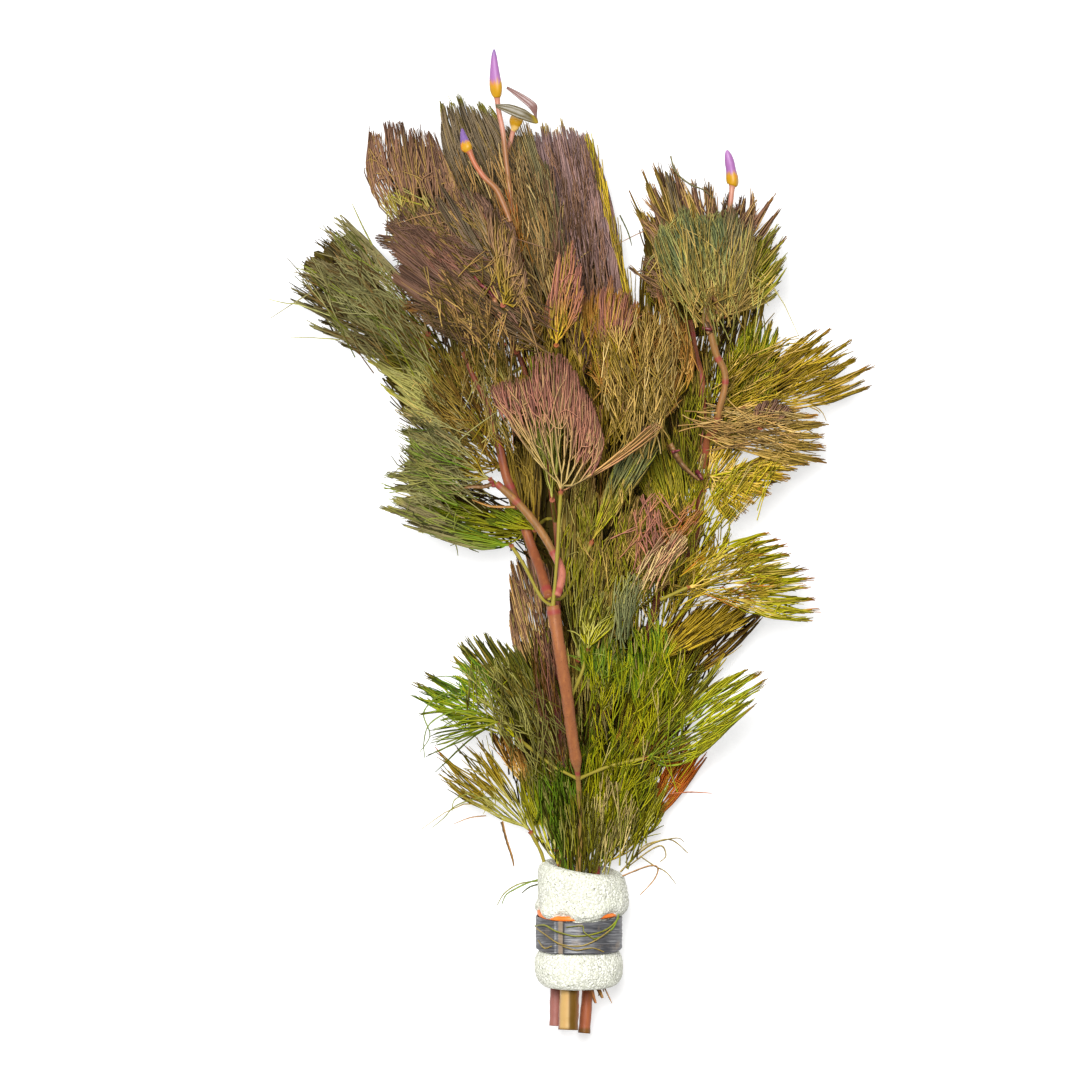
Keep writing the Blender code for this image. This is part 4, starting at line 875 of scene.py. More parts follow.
def last_strands(leaf, rng, clumps, count, net):
    """Where each last strand ends, and how it wanders; net strands are the thin ones on top."""
    strands = []
    wild = leaf.wild * (2.0 if net else 1.0)
    for i in range(count):
        v = min(1.0, max(0.0, (i + rng.random()) / count))
        low, high, notch, lift, shade = next(c for c in clumps if v <= c[1] + 1e-9)
        centre, half = (low + high) / 2, (high - low) / 2
        off = abs(v - centre) / half
        end = 1.05 - notch * 0.85 - 0.05 * rng.random() ** 2 - leaf.point * 0.18 * off ** 1.5
        stray = rng.random() < 0.06 * wild
        if net:
            end -= rng.uniform(0.0, 0.35)
        if stray:
            end += rng.uniform(-0.15, 0.03)
        strands.append({
            "v": v, "pull": (centre - v) * leaf.point * (0.4 if net else 1.0), "end": end,
            "lift": (0.2 + rng.uniform(-0.1, 0.2)) if net else lift + rng.uniform(-0.1, 0.1),
            "order": v + rng.gauss(0, 0.04 * wild),
            "chance": rng.uniform(0.8, 1.0) if net else 0.7 * (0.5 * shade + 0.5 * rng.random()),
            "wave": rng.uniform(0, 6.28),
            "bend": rng.gauss(0, 0.10 if stray else 0.011) * wild,
        })
    strands.sort(key=lambda s: s["order"])
    return strands


def leaf_lines(leaf):
    """Centre lines of one leaf: the brush, the looser net over it, and the stalk."""
    rng = random.Random(leaf.name)
    clumps = clumps_of(leaf, rng)
    lines = []

    def run(start, target, level, steps, thin, strand=None):
        t = np.linspace(0, 1, steps)
        (u0, v0, lift0), (u1, v1, lift1) = start, target
        u = u0 + (u1 - u0) * t
        radius = np.full(steps, STRAND_RADII[level] * thin)
        if strand is None:
            v = v0 + (v1 - v0) * t
            chance = rng.uniform(0.8, 1.0) if thin < 1 else 0.7 * rng.random()
        else:
            v = v0 + (v1 - v0) * (1 - (1 - t) ** 1.6)
            v = v + strand["pull"] * ease((u - 0.5) / 0.5) + strand["bend"] * t * t
            v = v + 0.011 * leaf.wild * np.sin(6 * t + strand["wave"]) * t
            radius = radius * (1.0 + 0.3 * np.sin(math.pi * t ** 0.8) - 0.45 * t ** 6)
            chance = strand["chance"]
        lift = lift0 + (lift1 - lift0) * ease(t)
        lines.append(Line(blade_points(leaf, u, v, lift), radius, u, chance, False))

    def grow(group, start, level, thin):
        parts = min(SPLITS[level], len(group))
        if level and parts > 2 and rng.random() < 0.3:
            parts -= 1
        edges = [round(i * len(group) / parts) for i in range(parts + 1)]
        for a, b in zip(edges, edges[1:]):
            members = group[a:b]
            if len(members) == 1 or level == len(FORKS) - 1:
                for strand in members:
                    target = (strand["end"], strand["v"], start[2] * 0.4 + strand["lift"])
                    run(start, target, level + 1, 6, thin, strand)
                continue
            u1 = FORKS[level + 1] * rng.uniform(0.85, 1.18)
            v1 = sum(s["v"] for s in members) / len(members) + rng.gauss(0, 0.012 * leaf.wild)
            fork = (u1, v1, start[2] * 0.6 + rng.uniform(-0.2, 0.2))
            run(start, fork, level, 2 if level else 3, thin)
            grow(members, fork, level + 1, thin)

    brush = last_strands(leaf, rng, clumps, int(leaf.strands * BRUSH_SHARE), False)
    grow(brush, (0.0, 0.5, 0.0), 0, 1.0)
    net = last_strands(leaf, rng, clumps, int(leaf.strands * NET_SHARE), True)
    grow(net, (0.0, 0.5, 0.1), 0, NET_RADIUS_SHARE)
    if len(leaf.route) > 1:
        lines.append(stalk_line(leaf))
    return lines


# %% [markdown]
# The stalk is a round, yellow green wire with a red bead at the palm. Its foot leaves the nearest
# stem, so the foot is moved to that stem's centre line where one passes close by. Stalks lie
# under their leaf, apart from those that the photograph shows.

# %% Stalks
STALK_RADIUS = 0.45
STALK_STEPS = 12
STALK_REACH, STALK_SNAP = 6.0, 2.5
SUNK_LAYERS = 4.0
OPEN_STALKS = (
    "centre_front_leaf", "left_front_leaf", "centre_right_leaf", "low_right_leaf", "low_left_leaf",
    "lowest_left_leaf", "lower_right_leaf", "small_stalked", "collar_green_left",
    "collar_green_right",
)


def stalk_line(leaf):
    """The stalk's centre line, thicker at its foot and at the palm."""
    sunk = 0.0 if leaf.name in OPEN_STALKS else SUNK_LAYERS
    low_layer = min(leaf.layer + sunk, LOWEST_LAYER - 0.5)
    layers = [low_layer] * (len(leaf.route) - 1) + [leaf.layer]
    route = [(x, y, layer_height(x, y, layer)) for (x, y), layer in zip(leaf.route, layers)]
    foot = np.array(route[0])
    stem_points = np.concatenate([line[0] for line in STEM_LINES.values()])
    gaps = np.linalg.norm((stem_points - foot) * (1, 1, 0.5), axis=1)
    near = stem_points[np.argmin(gaps)]
    if gaps.min() < STALK_REACH:
        close = np.linalg.norm((near - foot)[:2]) < STALK_SNAP
        route = [tuple(near)] + (route[1:] if close else route)
    share = np.linspace(-1.0, 0.0, STALK_STEPS)
    radius = STALK_RADIUS * (1.0 + 0.5 * bell(share, 0.0, 0.06) + 0.3 * bell(share, -1.0, 0.08))
    return Line(through(route, STALK_STEPS), radius, share, 0.5, True)


# %% [markdown]
# A leaf's paint follows each strand: a yellow green stalk, a red palm, then inner, outer and tip
# paint. Over it lies a painted shade: the number of the strand and its clump set how dark it is
# painted, the brush strands deep under the thin net are painted darker, and a leaf's even sets
# how dark its darkest strands get.

# %% Leaf paint
YOUNG_TIP = 2.2
WET_SHINE, WET_ROUGHNESS = 0.1, 0.40
DEEP_SHADE = (0.09, 0.07, 0.014)
FULL_LIGHT = (0.98, 0.92, 0.82)
EVEN_SHADE = 0.70
LOTS = 61.0


def deepest(even):
    """Shade of the darkest strands: even is 0 for a deep, open spray and 1 for a dense, flat one."""
    return tuple(dark + (EVEN_SHADE - dark) * even for dark in DEEP_SHADE)


def leaf_finish(leaf):
    """The strands' paint, with the net of thin strands in a paint of its own."""
    inner, outer, tips, stray = leaf.paints.split()
    f = Finish(leaf.name + "_green")
    middle = np.mean(np.array(leaf.rim, dtype=float), axis=0)
    length = np.linalg.norm(middle - np.array(leaf.route[-1], dtype=float))
    young = YOUNG_TIP / max(1.0, float(length))
    along = f.attribute("along")
    chance = f.attribute("chance")
    patch = f.cloud(80.0, 2.0)
    run = along + (patch - 0.5) * 0.5 + (chance - 0.4) * 0.12
    f.colour = f.blend(run.step(0.24, 0.56), inner, outer)
    net = chance.step(0.74, 0.78) * (1.0 - run.step(0.40, 0.70) * 0.85)
    f.over(net * 0.75, stray)
    lot = (chance * LOTS).fraction()
    f.over(lot.step(0.80, 0.84) * 0.55, stray)
    f.over(lot.step(0.16, 0.12) * 0.55, inner)
    f.over((along + lot * young).step(1.04 - young, 1.05) * 0.8, tips)
    # Painted shade: the paint is multiplied by a shade between the darkest strands and full light.
    painted_shade_mix = (chance * 1.1 + (lot - 0.5) * 0.55).step(0.0, 0.85)
    f.over(1.0, f.blend(painted_shade_mix, deepest(leaf.even), FULL_LIGHT), "MULTIPLY")
    f.over(along.step(0.03, -0.06), "stalk")
    palm = along.step(-0.10, -0.02) * along.step(0.035, 0.012)
    f.over(palm * 0.8, "joint_red")
    return f.done(roughness=WET_ROUGHNESS, specular_ior_level=WET_SHINE)


triangles = 0
for leaf in LEAVES:
    piece = body_of_lines(leaf.name + "_spray", leaf_lines(leaf), leaf_finish(leaf))
    node = (leaf.name,) if leaf.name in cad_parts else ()
    keep(piece, leaf.tone + "_leaf", *node)
    triangles += len(piece.data.loops) - 2 * len(piece.data.polygons)
print("leaf triangles:", triangles)

# %% [markdown]
# ## Twigs between the sprays
# A bunch this thick shows no table through its middle: behind the sprays that one can follow lie
# hundreds of twigs, and loose ones cross in front. They are sown patch by patch. A patch is an
# outline for the twigs' tips; each twig points away from the patch's root, give or take a sway,
# and forks in two on its way. The deep patches are dark paints under a strong painted shade, and
# the front nets are thin and light; the pale paint in some nets stands partly for wet highlights,
# a painted highlight. A row ends with three paints: deep strands, high strands and a rare one.

# %% Twig patches
Patch = namedtuple(
    "Patch", "name tone layer root outline twigs length sway radius paints even", defaults=(0.25,)
)
PATCHES = [
    Patch("deep_top", "dark", 9.5, (-3.6, -54.6), ((-49.1, 100.9), (-36.1, 101.9), (-32.1, 93.4),
        (-26.1, 107.9), (-18.6, 105.4), (-11.1, 101.9), (2.4, 102.9), (6.9, 85.4), (11.4, 62.9),
        (-3.6, 42.9), (-18.6, 52.9), (-33.6, 52.9), (-43.6, 72.9)), 300, 15, 0.14, 0.27,
        "deep_mauve dusk mauve", 0.15),
    Patch("deep_left", "dark", 9.6, (11.4, -4.6), ((-70.6, 69.4), (-57.4, 79.4), (-45.6, 62.9),
        (-33.6, 47.9), (-27.1, 36.4), (-28.1, 28.9), (-33.6, 25.9), (-43.1, 29.4), (-46.6, 37.4),
        (-54.1, 51.4), (-62.6, 59.4)), 180, 14, 0.18, 0.26, "deep_olive deep_brown moss", 0.15),
    Patch("deep_middle_left", "dark", 9.2, (16.4, -12.1), ((-43.1, 28.9), (-34.6, 25.4), (-29.1, 14.9),
        (-19.6, 9.4), (-12.6, -1.1), (-18.6, 0.4), (-31.1, 5.4), (-40.6, 9.1), (-44.1, 17.9)), 120, 12, 0.2,
        0.25, "deep_olive deep_brown moss", 0.15),
    Patch("deep_centre", "dark", 9.8, (3.9, -89.6), ((-17.6, 40.4), (-3.6, 52.9), (16.4, 59.4), (35.4, 47.9),
        (33.9, 30.4), (28.9, 5.4), (18.9, -4.6), (16.4, -24.6), (-3.6, -24.6), (-11.1, -4.6), (-17.6, 15.4)),
        270, 15, 0.16, 0.27, "deep_brown deep_olive khaki", 0.15),
    Patch("deep_rosette", "dark", 9.0, (28.9, 20.4), ((15.4, 80.9), (22.6, 84.4), (36.4, 83.4), (44.4, 76.4),
        (48.4, 62.9), (43.9, 55.9), (31.4, 49.1), (22.4, 52.9), (14.9, 62.9)), 110, 12, 0.18, 0.24,
        "deep_olive deep_brown moss", 0.15),
    Patch("deep_right", "olive", 9.0, (16.4, 12.9), ((35.4, 47.4), (48.9, 49.9), (61.9, 45.4), (56.4, 36.4),
        (42.4, 30.4), (46.4, 25.4), (36.4, 20.4), (31.9, 22.9)), 80, 12, 0.14, 0.2, "deep_olive bronze gold",
        0.15),
    Patch("deep_low", "dark", 9.6, (2.6, -129.6), ((-16.6, -24.6), (-3.6, -19.6), (16.4, -19.6),
        (31.4, -18.1), (38.9, -20.1), (29.9, -34.6), (32.4, -39.6), (25.4, -49.6), (21.4, -62.1),
        (11.4, -71.1), (6.4, -74.6), (-2.1, -74.6), (-7.6, -71.1), (-13.6, -64.6), (-15.6, -52.1),
        (-22.6, -39.6)), 260, 14, 0.16, 0.26, "deep_olive deep_brown moss", 0.15),
    Patch("deep_right_low", "olive", 8.6, (8.9, -44.6), ((19.4, 5.4), (31.4, 9.9), (35.4, 5.4), (31.4, -4.6),
        (35.4, -11.6), (26.4, -14.6), (19.4, -17.1)), 70, 11, 0.2, 0.22, "deep_olive olive gold", 0.15),
    Patch("net_shoot_low", "mauve", 1.0, (16.4, 35.4), ((-44.1, 63.4), (-26.1, 69.9), (-11.1, 61.4),
        (-12.1, 51.4), (-26.1, 49.9), (-38.6, 53.4)), 150, 10, 0.12, 0.19, "deep_mauve dusk mauve"),
    Patch("net_shoot_high", "mauve", 1.3, (11.4, 37.9), ((-46.6, 78.4), (-33.6, 85.9), (-19.1, 81.4),
        (-14.6, 68.4), (-28.6, 65.9), (-43.1, 68.4)), 90, 10, 0.14, 0.18, "dusk khaki tan"),
    Patch("net_shoot_heart", "pink", 0.5, (-14.9, 49.1), ((-28.1, 71.4), (-18.6, 73.9), (-12.6, 69.9),
        (-11.6, 62.4), (-15.6, 61.4), (-18.6, 60.4), (-24.1, 69.9)), 34, 8, 0.6, 0.18, "khaki tan straw"),
    Patch("net_shoot_cross", "olive", 0.8, (-13.6, 30.4), ((-38.6, 69.9), (-26.6, 65.4), (-18.6, 58.9),
        (-12.6, 52.9), (-18.6, 49.9), (-31.1, 52.9), (-39.6, 60.4)), 80, 11, 0.3, 0.19,
        "deep_olive tan straw"),
    Patch("net_shoot_mauve", "mauve", 0.9, (-3.6, 50.4), ((-45.6, 78.9), (-38.6, 79.9), (-26.1, 75.4),
        (-26.1, 69.9), (-36.1, 69.9), (-42.6, 72.9)), 90, 10, 0.25, 0.19, "plum mauve rose"),
    Patch("net_far_left", "grey", 3.0, (-3.6, 15.4), ((-71.6, 67.4), (-58.6, 79.9), (-47.6, 67.4),
        (-36.1, 47.9), (-43.6, 49.6), (-60.1, 52.9)), 130, 12, 0.22, 0.17, "brown ash_green leaf_green"),
    Patch("net_left_hollow", "dark", 6.0, (-3.6, 0.4), ((-38.6, 50.4), (-28.6, 47.4), (-22.1, 35.4),
        (-23.6, 26.4), (-31.1, 27.9), (-39.6, 36.4)), 90, 11, 0.2, 0.18, "brown khaki moss"),
    Patch("net_hollow_light", "olive", 4.6, (-13.6, 0.4), ((-28.1, 51.6), (-18.6, 50.4), (-15.1, 42.4),
        (-17.4, 27.9), (-20.6, 25.4), (-24.6, 37.4)), 90, 9, 0.3, 0.17, "olive ash_tan sage"),
    Patch("net_left_mid", "green", 2.2, (6.4, -9.6), ((-45.6, 34.9), (-36.1, 32.4), (-28.6, 17.9),
        (-33.6, 8.4), (-44.1, 12.9)), 90, 10, 0.25, 0.17, "olive_grey ash_green pale"),
    Patch("net_left_lime", "green", 1.8, (16.4, 0.4), ((-44.6, 27.9), (-40.6, 28.4), (-33.6, 17.9),
        (-36.1, 10.4), (-44.6, 14.9)), 50, 10, 0.3, 0.17, "grass sage ash_tan"),
    Patch("net_far_green", "green", 2.8, (-3.6, 17.9), ((-68.6, 69.9), (-56.1, 72.9), (-46.6, 62.9),
        (-43.6, 52.9), (-58.6, 55.9)), 70, 9, 0.4, 0.17, "olive_grey ash_green leaf_green"),
    Patch("net_top_left", "mauve", 4.0, (-13.6, 20.4), ((-49.6, 87.9), (-38.6, 90.4), (-32.1, 78.9),
        (-38.6, 72.9), (-47.1, 77.4)), 100, 10, 0.3, 0.18, "sage tan lime"),
    Patch("net_top_mid", "mauve", 4.6, (6.4, 5.4), ((-32.6, 97.4), (-18.6, 103.9), (-9.6, 97.4),
        (-4.6, 70.4), (-11.1, 52.9), (-23.6, 72.9)), 190, 12, 0.16, 0.19, "dusk tan pale"),
    Patch("net_top_wide", "mauve", 6.6, (8.9, -24.6), ((-9.1, 101.4), (3.4, 101.9), (7.9, 75.4), (7.4, 50.4),
        (-3.1, 52.9)), 110, 13, 0.1, 0.18, "mauve heather top_mauve"),
    Patch("net_centre", "olive", 2.5, (6.4, -39.6), ((-13.6, 52.9), (-3.6, 62.9), (16.4, 52.9), (13.9, 30.4),
        (-3.6, 25.4), (-18.6, 30.4)), 120, 10, 0.25, 0.18, "olive khaki rose"),
    Patch("net_right_centre", "olive", 2.6, (16.4, 5.4), ((3.9, 52.4), (16.4, 59.9), (25.4, 59.9),
        (26.9, 45.4), (21.4, 27.9), (9.4, 30.4)), 190, 10, 0.26, 0.18, "khaki straw pale"),
    Patch("net_rosette", "grey", 1.4, (34.9, 42.9), ((17.4, 75.4), (23.9, 79.9), (31.4, 81.4), (40.4, 80.4),
        (49.4, 74.4), (46.9, 62.9), (40.4, 60.4), (31.4, 60.4), (22.4, 62.9)), 80, 13, 0.16, 0.18,
        "sage khaki straw"),
    Patch("net_hook", "olive", 1.2, (34.4, 49.1), ((27.4, 62.9), (34.4, 66.4), (41.4, 62.9), (41.9, 57.4),
        (38.4, 59.4), (30.4, 59.4), (27.9, 57.9)), 26, 6, 0.7, 0.18, "khaki straw sage"),
    Patch("salmon_spikes", "pink", 1.6, (18.9, -14.6), ((13.9, 5.4), (15.4, 12.9), (19.4, 13.9),
        (21.9, 10.4), (19.4, 0.4), (15.4, -1.1)), 26, 9, 0.45, 0.24, "rose pink salmon", 0.7),
    Patch("pink_strip", "pink", 1.5, (6.4, -27.1), ((18.4, -4.6), (21.4, 1.4), (27.4, 3.9), (29.9, 0.4),
        (24.4, -5.1)), 44, 11, 0.14, 0.22, "pink pale rose", 0.7),
    Patch("teal_strip", "dark", 1.5, (9.9, -37.1), ((8.4, -10.6), (13.9, -6.6), (17.9, -9.6), (14.9, -15.6),
        (10.4, -17.1)), 44, 11, 0.14, 0.2, "teal ash_green sage", 0.7),
    Patch("rust_spikes", "orange", 2.4, (18.9, -7.1), ((21.4, 0.4), (24.4, 8.9), (31.4, 11.4), (32.4, 5.4),
        (26.4, -0.6)), 26, 9, 0.3, 0.2, "bronze salmon rust", 0.7),
    Patch("gold_edge", "yellow", 7.4, (19.4, 17.9), ((2.1, 104.4), (3.6, 104.6), (7.4, 92.9), (10.4, 81.6),
        (14.1, 63.6), (12.6, 63.6), (8.6, 81.6), (5.6, 92.9)), 34, 12, 0.02, 0.2, "khaki gold lime", 0.7),
    Patch("net_right_high", "olive", 3.8, (21.4, 22.9), ((38.9, 47.4), (56.4, 51.9), (68.9, 43.9),
        (56.4, 35.9), (41.4, 35.4)), 80, 10, 0.2, 0.17, "olive gold straw"),
    Patch("net_right_mid", "olive", 2.4, (18.9, 30.4), ((36.9, 34.9), (56.4, 33.4), (60.9, 27.9),
        (53.9, 20.9), (36.9, 23.4)), 90, 10, 0.2, 0.18, "tan straw pale"),
    Patch("net_gold", "yellow", 3.8, (16.4, -24.6), ((31.9, 22.9), (52.9, 20.9), (45.4, 10.9), (33.9, 3.4),
        (29.4, 10.4)), 80, 10, 0.2, 0.17, "lime gold pale"),
    Patch("net_inner", "olive", 2.8, (6.4, -59.6), ((-0.6, 15.4), (28.9, 17.9), (31.4, -3.6), (21.4, -19.1),
        (6.9, -23.6), (-0.6, -4.6)), 150, 9, 0.28, 0.17, "moss khaki straw"),
    Patch("net_inner_green", "green", 2.5, (6.4, -59.6), ((-0.6, 5.4), (21.4, 10.4), (28.9, -3.6),
        (18.9, -19.6), (6.9, -23.6), (-0.6, -12.1)), 60, 9, 0.3, 0.17, "moss lime straw"),
    Patch("net_right_green", "yellow", 1.4, (18.9, -14.6), ((31.9, -0.1), (46.4, 0.4), (55.4, -9.6),
        (45.4, -16.1), (31.9, -15.6)), 60, 9, 0.2, 0.17, "olive gold rust"),
    Patch("net_low_centre", "green", 2.0, (3.9, -89.6), ((1.9, -22.6), (26.4, -20.1), (29.9, -39.6),
        (18.9, -61.1), (7.4, -74.1), (3.9, -54.6)), 220, 10, 0.3, 0.19, "leaf_green lime pale"),
    Patch("net_low_left", "green", 2.4, (1.4, -79.6), ((-30.6, -30.1), (-13.6, -27.6), (-5.6, -39.6),
        (-6.6, -64.6), (-18.1, -49.6)), 120, 9, 0.3, 0.18, "deep_olive sage sage"),
    Patch("net_mouth_left", "green", 2.4, (1.9, -104.6), ((-10.1, -59.6), (-3.6, -54.6), (1.9, -52.1),
        (1.9, -73.6), (-4.6, -73.6)), 110, 11, 0.16, 0.2, "deep_green grass sage", 0.05),
    Patch("net_mouth", "olive", 2.4, (1.9, -104.6), ((1.9, -52.1), (13.9, -52.1), (21.9, -63.6),
        (19.4, -71.1), (10.9, -73.1), (2.4, -73.1)), 170, 11, 0.16, 0.2, "moss lime sage", 0.05),
    Patch("net_mouth_dark", "dark", 3.4, (1.9, -109.6), ((-9.6, -59.6), (-1.1, -39.6), (13.9, -44.6),
        (20.4, -63.6), (10.4, -72.1), (-4.1, -72.1)), 150, 11, 0.12, 0.2, "deep_olive leaf_green khaki",
        0.05),
    Patch("net_mouth_front", "olive", -0.1, (1.9, -109.6), ((-3.6, -64.6), (1.4, -60.6), (7.4, -63.6),
        (8.9, -74.1), (-2.1, -74.1)), 36, 12, 0.12, 0.2, "deep_olive moss sage", 0.05),
    Patch("net_mouth_light", "grey", 1.8, (1.9, -114.6), ((3.9, -62.1), (6.4, -57.1), (11.4, -57.1),
        (16.4, -64.6), (13.4, -73.6), (5.4, -73.6)), 36, 12, 0.14, 0.2, "sage pale moss", 0.05),
    Patch("net_behind_stem", "mauve", 5.0, (3.9, -104.6), ((-10.6, -14.6), (-3.6, -24.6), (-2.1, -59.6),
        (-7.1, -64.6), (-11.1, -39.6)), 90, 12, 0.08, 0.2, "brown mauve rose"),
    Patch("net_stem_right", "olive", 6.4, (28.9, -4.6), ((25.4, 47.9), (34.4, 49.1), (35.4, 35.4),
        (32.4, 22.9), (25.4, 25.4)), 110, 10, 0.2, 0.19, "moss khaki lime"),
    Patch("net_upright", "green", 5.0, (36.4, 5.4), ((36.9, 49.1), (46.9, 53.9), (52.9, 47.9), (48.9, 32.9),
        (37.9, 27.9)), 150, 10, 0.2, 0.19, "moss lime straw"),
    Patch("net_over_bud", "mauve", 3.0, (-3.6, 30.4), ((-24.1, 86.4), (-16.1, 90.4), (-11.1, 77.9),
        (-18.6, 70.4), (-23.6, 77.9)), 50, 9, 0.25, 0.18, "bronze tan rust"),
]
print(len(PATCHES), "patches")

# %% Growing twigs
TWIG_POINTS = 4
TIP_TRIES = 200
FORK_SHARE = 0.45
FORK_ANGLE = (0.07, 0.24)


def is_inside(point, outline):
    """Whether a point lies in an outline: a ray from it crosses the border an odd number of times."""
    x, y = point
    inside = False
    for (x0, y0), (x1, y1) in zip(outline, outline[1:] + outline[:1]):
        if (y0 > y) != (y1 > y) and x < x0 + (x1 - x0) * (y - y0) / (y1 - y0):
            inside = not inside
    return inside


def twig_part(start, heading, turn, length, layers, radii, share, chance):
    """One arc of a twig, from a start, turning by so much on its way."""
    t = np.linspace(0, 1, TWIG_POINTS)
    angles = heading + turn * t[:-1]
    step = length / (TWIG_POINTS - 1)
    x = start[0] + np.concatenate([[0], np.cumsum(np.cos(angles))]) * step
    y = start[1] + np.concatenate([[0], np.cumsum(np.sin(angles))]) * step
    layer = np.clip(layers[0] + (layers[1] - layers[0]) * t, -0.15, LOWEST_LAYER)
    points = np.column_stack([x, y, layer_height(x, y, layer)])
    radius = radii[0] + (radii[1] - radii[0]) * t
    return Line(points, radius, share[0] + (share[1] - share[0]) * t, chance, False)


def twig_lines(patch, rng):
    """A twig whose tip lies in the patch: a stem, then two arms that bend back side by side."""
    xs, ys = zip(*patch.outline)
    tip = (0.0, 0.0)
    for attempt in range(TIP_TRIES):
        tip = (rng.uniform(min(xs), max(xs)), rng.uniform(min(ys), max(ys)))
        if is_inside(tip, patch.outline):
            break
    heading = math.atan2(tip[1] - patch.root[1], tip[0] - patch.root[0])
    heading += rng.gauss(0, patch.sway)
    length = patch.length * rng.uniform(0.6, 1.2)
    start = (tip[0] - length * math.cos(heading), tip[1] - length * math.sin(heading))
    layer = patch.layer + rng.uniform(-0.5, 0.5)
    chance = rng.random()
    bend = rng.gauss(0, 0.5 * patch.sway)
    stem = twig_part(start, heading - bend, bend, length * FORK_SHARE, (layer + 0.4, layer),
                     (patch.radius * 1.15, patch.radius), (0.0, FORK_SHARE), chance)
    lines = [stem]
    for side in (-1, 1):
        angle = side * rng.uniform(*FORK_ANGLE)
        arm = length * (1 - FORK_SHARE) * rng.uniform(0.8, 1.05)
        lines.append(twig_part(stem.points[-1], heading + angle, -1.3 * angle + 0.5 * bend, arm,
                               (layer, layer - rng.uniform(0.0, 0.4)),
                               (patch.radius, patch.radius * 0.7), (FORK_SHARE, 1.0), chance))
    return lines


def patch_finish(patch):
    low, high, rare = patch.paints.split()
    f = Finish(patch.name + "_paint")
    chance = f.attribute("chance")
    along = f.attribute("along")
    cloud = f.cloud(60.0, 2.0)
    mix = (chance * 0.7 + (cloud - 0.5) * 0.9 + along * 0.3).step(0.1, 0.9)
    f.colour = f.blend(mix, low, high)
    lot = (chance * LOTS).fraction()
    f.over(lot.step(0.84, 0.88) * 0.7, rare)
    # Painted shade: each twig's paint is multiplied by a shade between the darkest and full light, scattered
    # by the twig's number.
    shade = f.blend((chance * 23.0).fraction(), deepest(patch.even), FULL_LIGHT)
    f.over(1.0, shade, "MULTIPLY")
    return f.done(roughness=WET_ROUGHNESS, specular_ior_level=WET_SHINE)


# %% [markdown]
# Under the deep patches lies a thin dark sheet just above the table: painted shade, so that the
# gaps between the twigs look dark instead of showing the table. It is made of small squares,
# wherever one lies well inside a deep patch.

# %% Painted shade sheet under the deep patches
BED_STEP, BED_MARGIN, BED_LAYER, BED_THICKNESS = 1.25, 2.0, 10.6, 0.15


def is_well_inside(point, outline):
    """Whether a point and its four neighbours at some distance all lie in an outline."""
    x, y = point
    steps = ((0, 0), (BED_MARGIN, 0), (-BED_MARGIN, 0), (0, BED_MARGIN), (0, -BED_MARGIN))
    return all(is_inside((x + a, y + b), outline) for a, b in steps)


def bed_squares():
    """Squares of a millimetre or so that lie well inside a deep patch."""
    found = set()
    for patch in PATCHES:
        if not patch.name.startswith("deep"):
            continue
        xs, ys = zip(*patch.outline)
        for i in range(int(min(xs) / BED_STEP), int(max(xs) / BED_STEP) + 1):
            for j in range(int(min(ys) / BED_STEP), int(max(ys) / BED_STEP) + 1):
                if is_well_inside(((i + 0.5) * BED_STEP, (j + 0.5) * BED_STEP), patch.outline):
                    found.add((i, j))
    return sorted(found)


squares = bed_squares()
corners = sorted({(i + a, j + b) for i, j in squares for a in (0, 1) for b in (0, 1)})
number = {corner: n for n, corner in enumerate(corners)}
verts = []
for i, j in corners:
    x, y = i * BED_STEP + 0.3 * math.sin(j * 1.7), j * BED_STEP + 0.3 * math.sin(i * 2.3)
    verts.append((x, y, float(layer_height(x, y, BED_LAYER)) - 0.1))
faces = [
    [number[i, j], number[i + 1, j], number[i + 1, j + 1], number[i, j + 1]] for i, j in squares
]
# A dark sheet that stands in for the shade in the gaps between the deep twigs: painted shade.
mesh = smooth_mesh("old_leaf_bed", verts, faces)
bed = put("old_leaf_bed", mesh)
thick = bed.modifiers.new("thickness", "SOLIDIFY")
thick.thickness, thick.offset = BED_THICKNESS * MM, 0.0
f = Finish("old_leaf_brown")
streak = f.cloud(700.0, 3.0, f.place((1.0, 0.15, 1.0)))
# Its streaked dark brown paint is painted shade.
f.colour = f.blend(streak.step(0.35, 0.70), "shade_sheet_dark", "deep_olive")
mesh.materials.append(f.done(roughness=0.9, specular_ior_level=WET_SHINE))
keep(bed, "dark_leaf")
print("painted shade sheet:", len(squares), "squares")

# %% Sowing the twigs
for patch in PATCHES:
    rng = random.Random(patch.name)
    lines = [line for twig in range(patch.twigs) for line in twig_lines(patch, rng)]
    piece = body_of_lines(patch.name + "_twigs", lines, patch_finish(patch))
    keep(piece, patch.tone + "_leaf")
print("twigs:", sum(patch.twigs for patch in PATCHES))
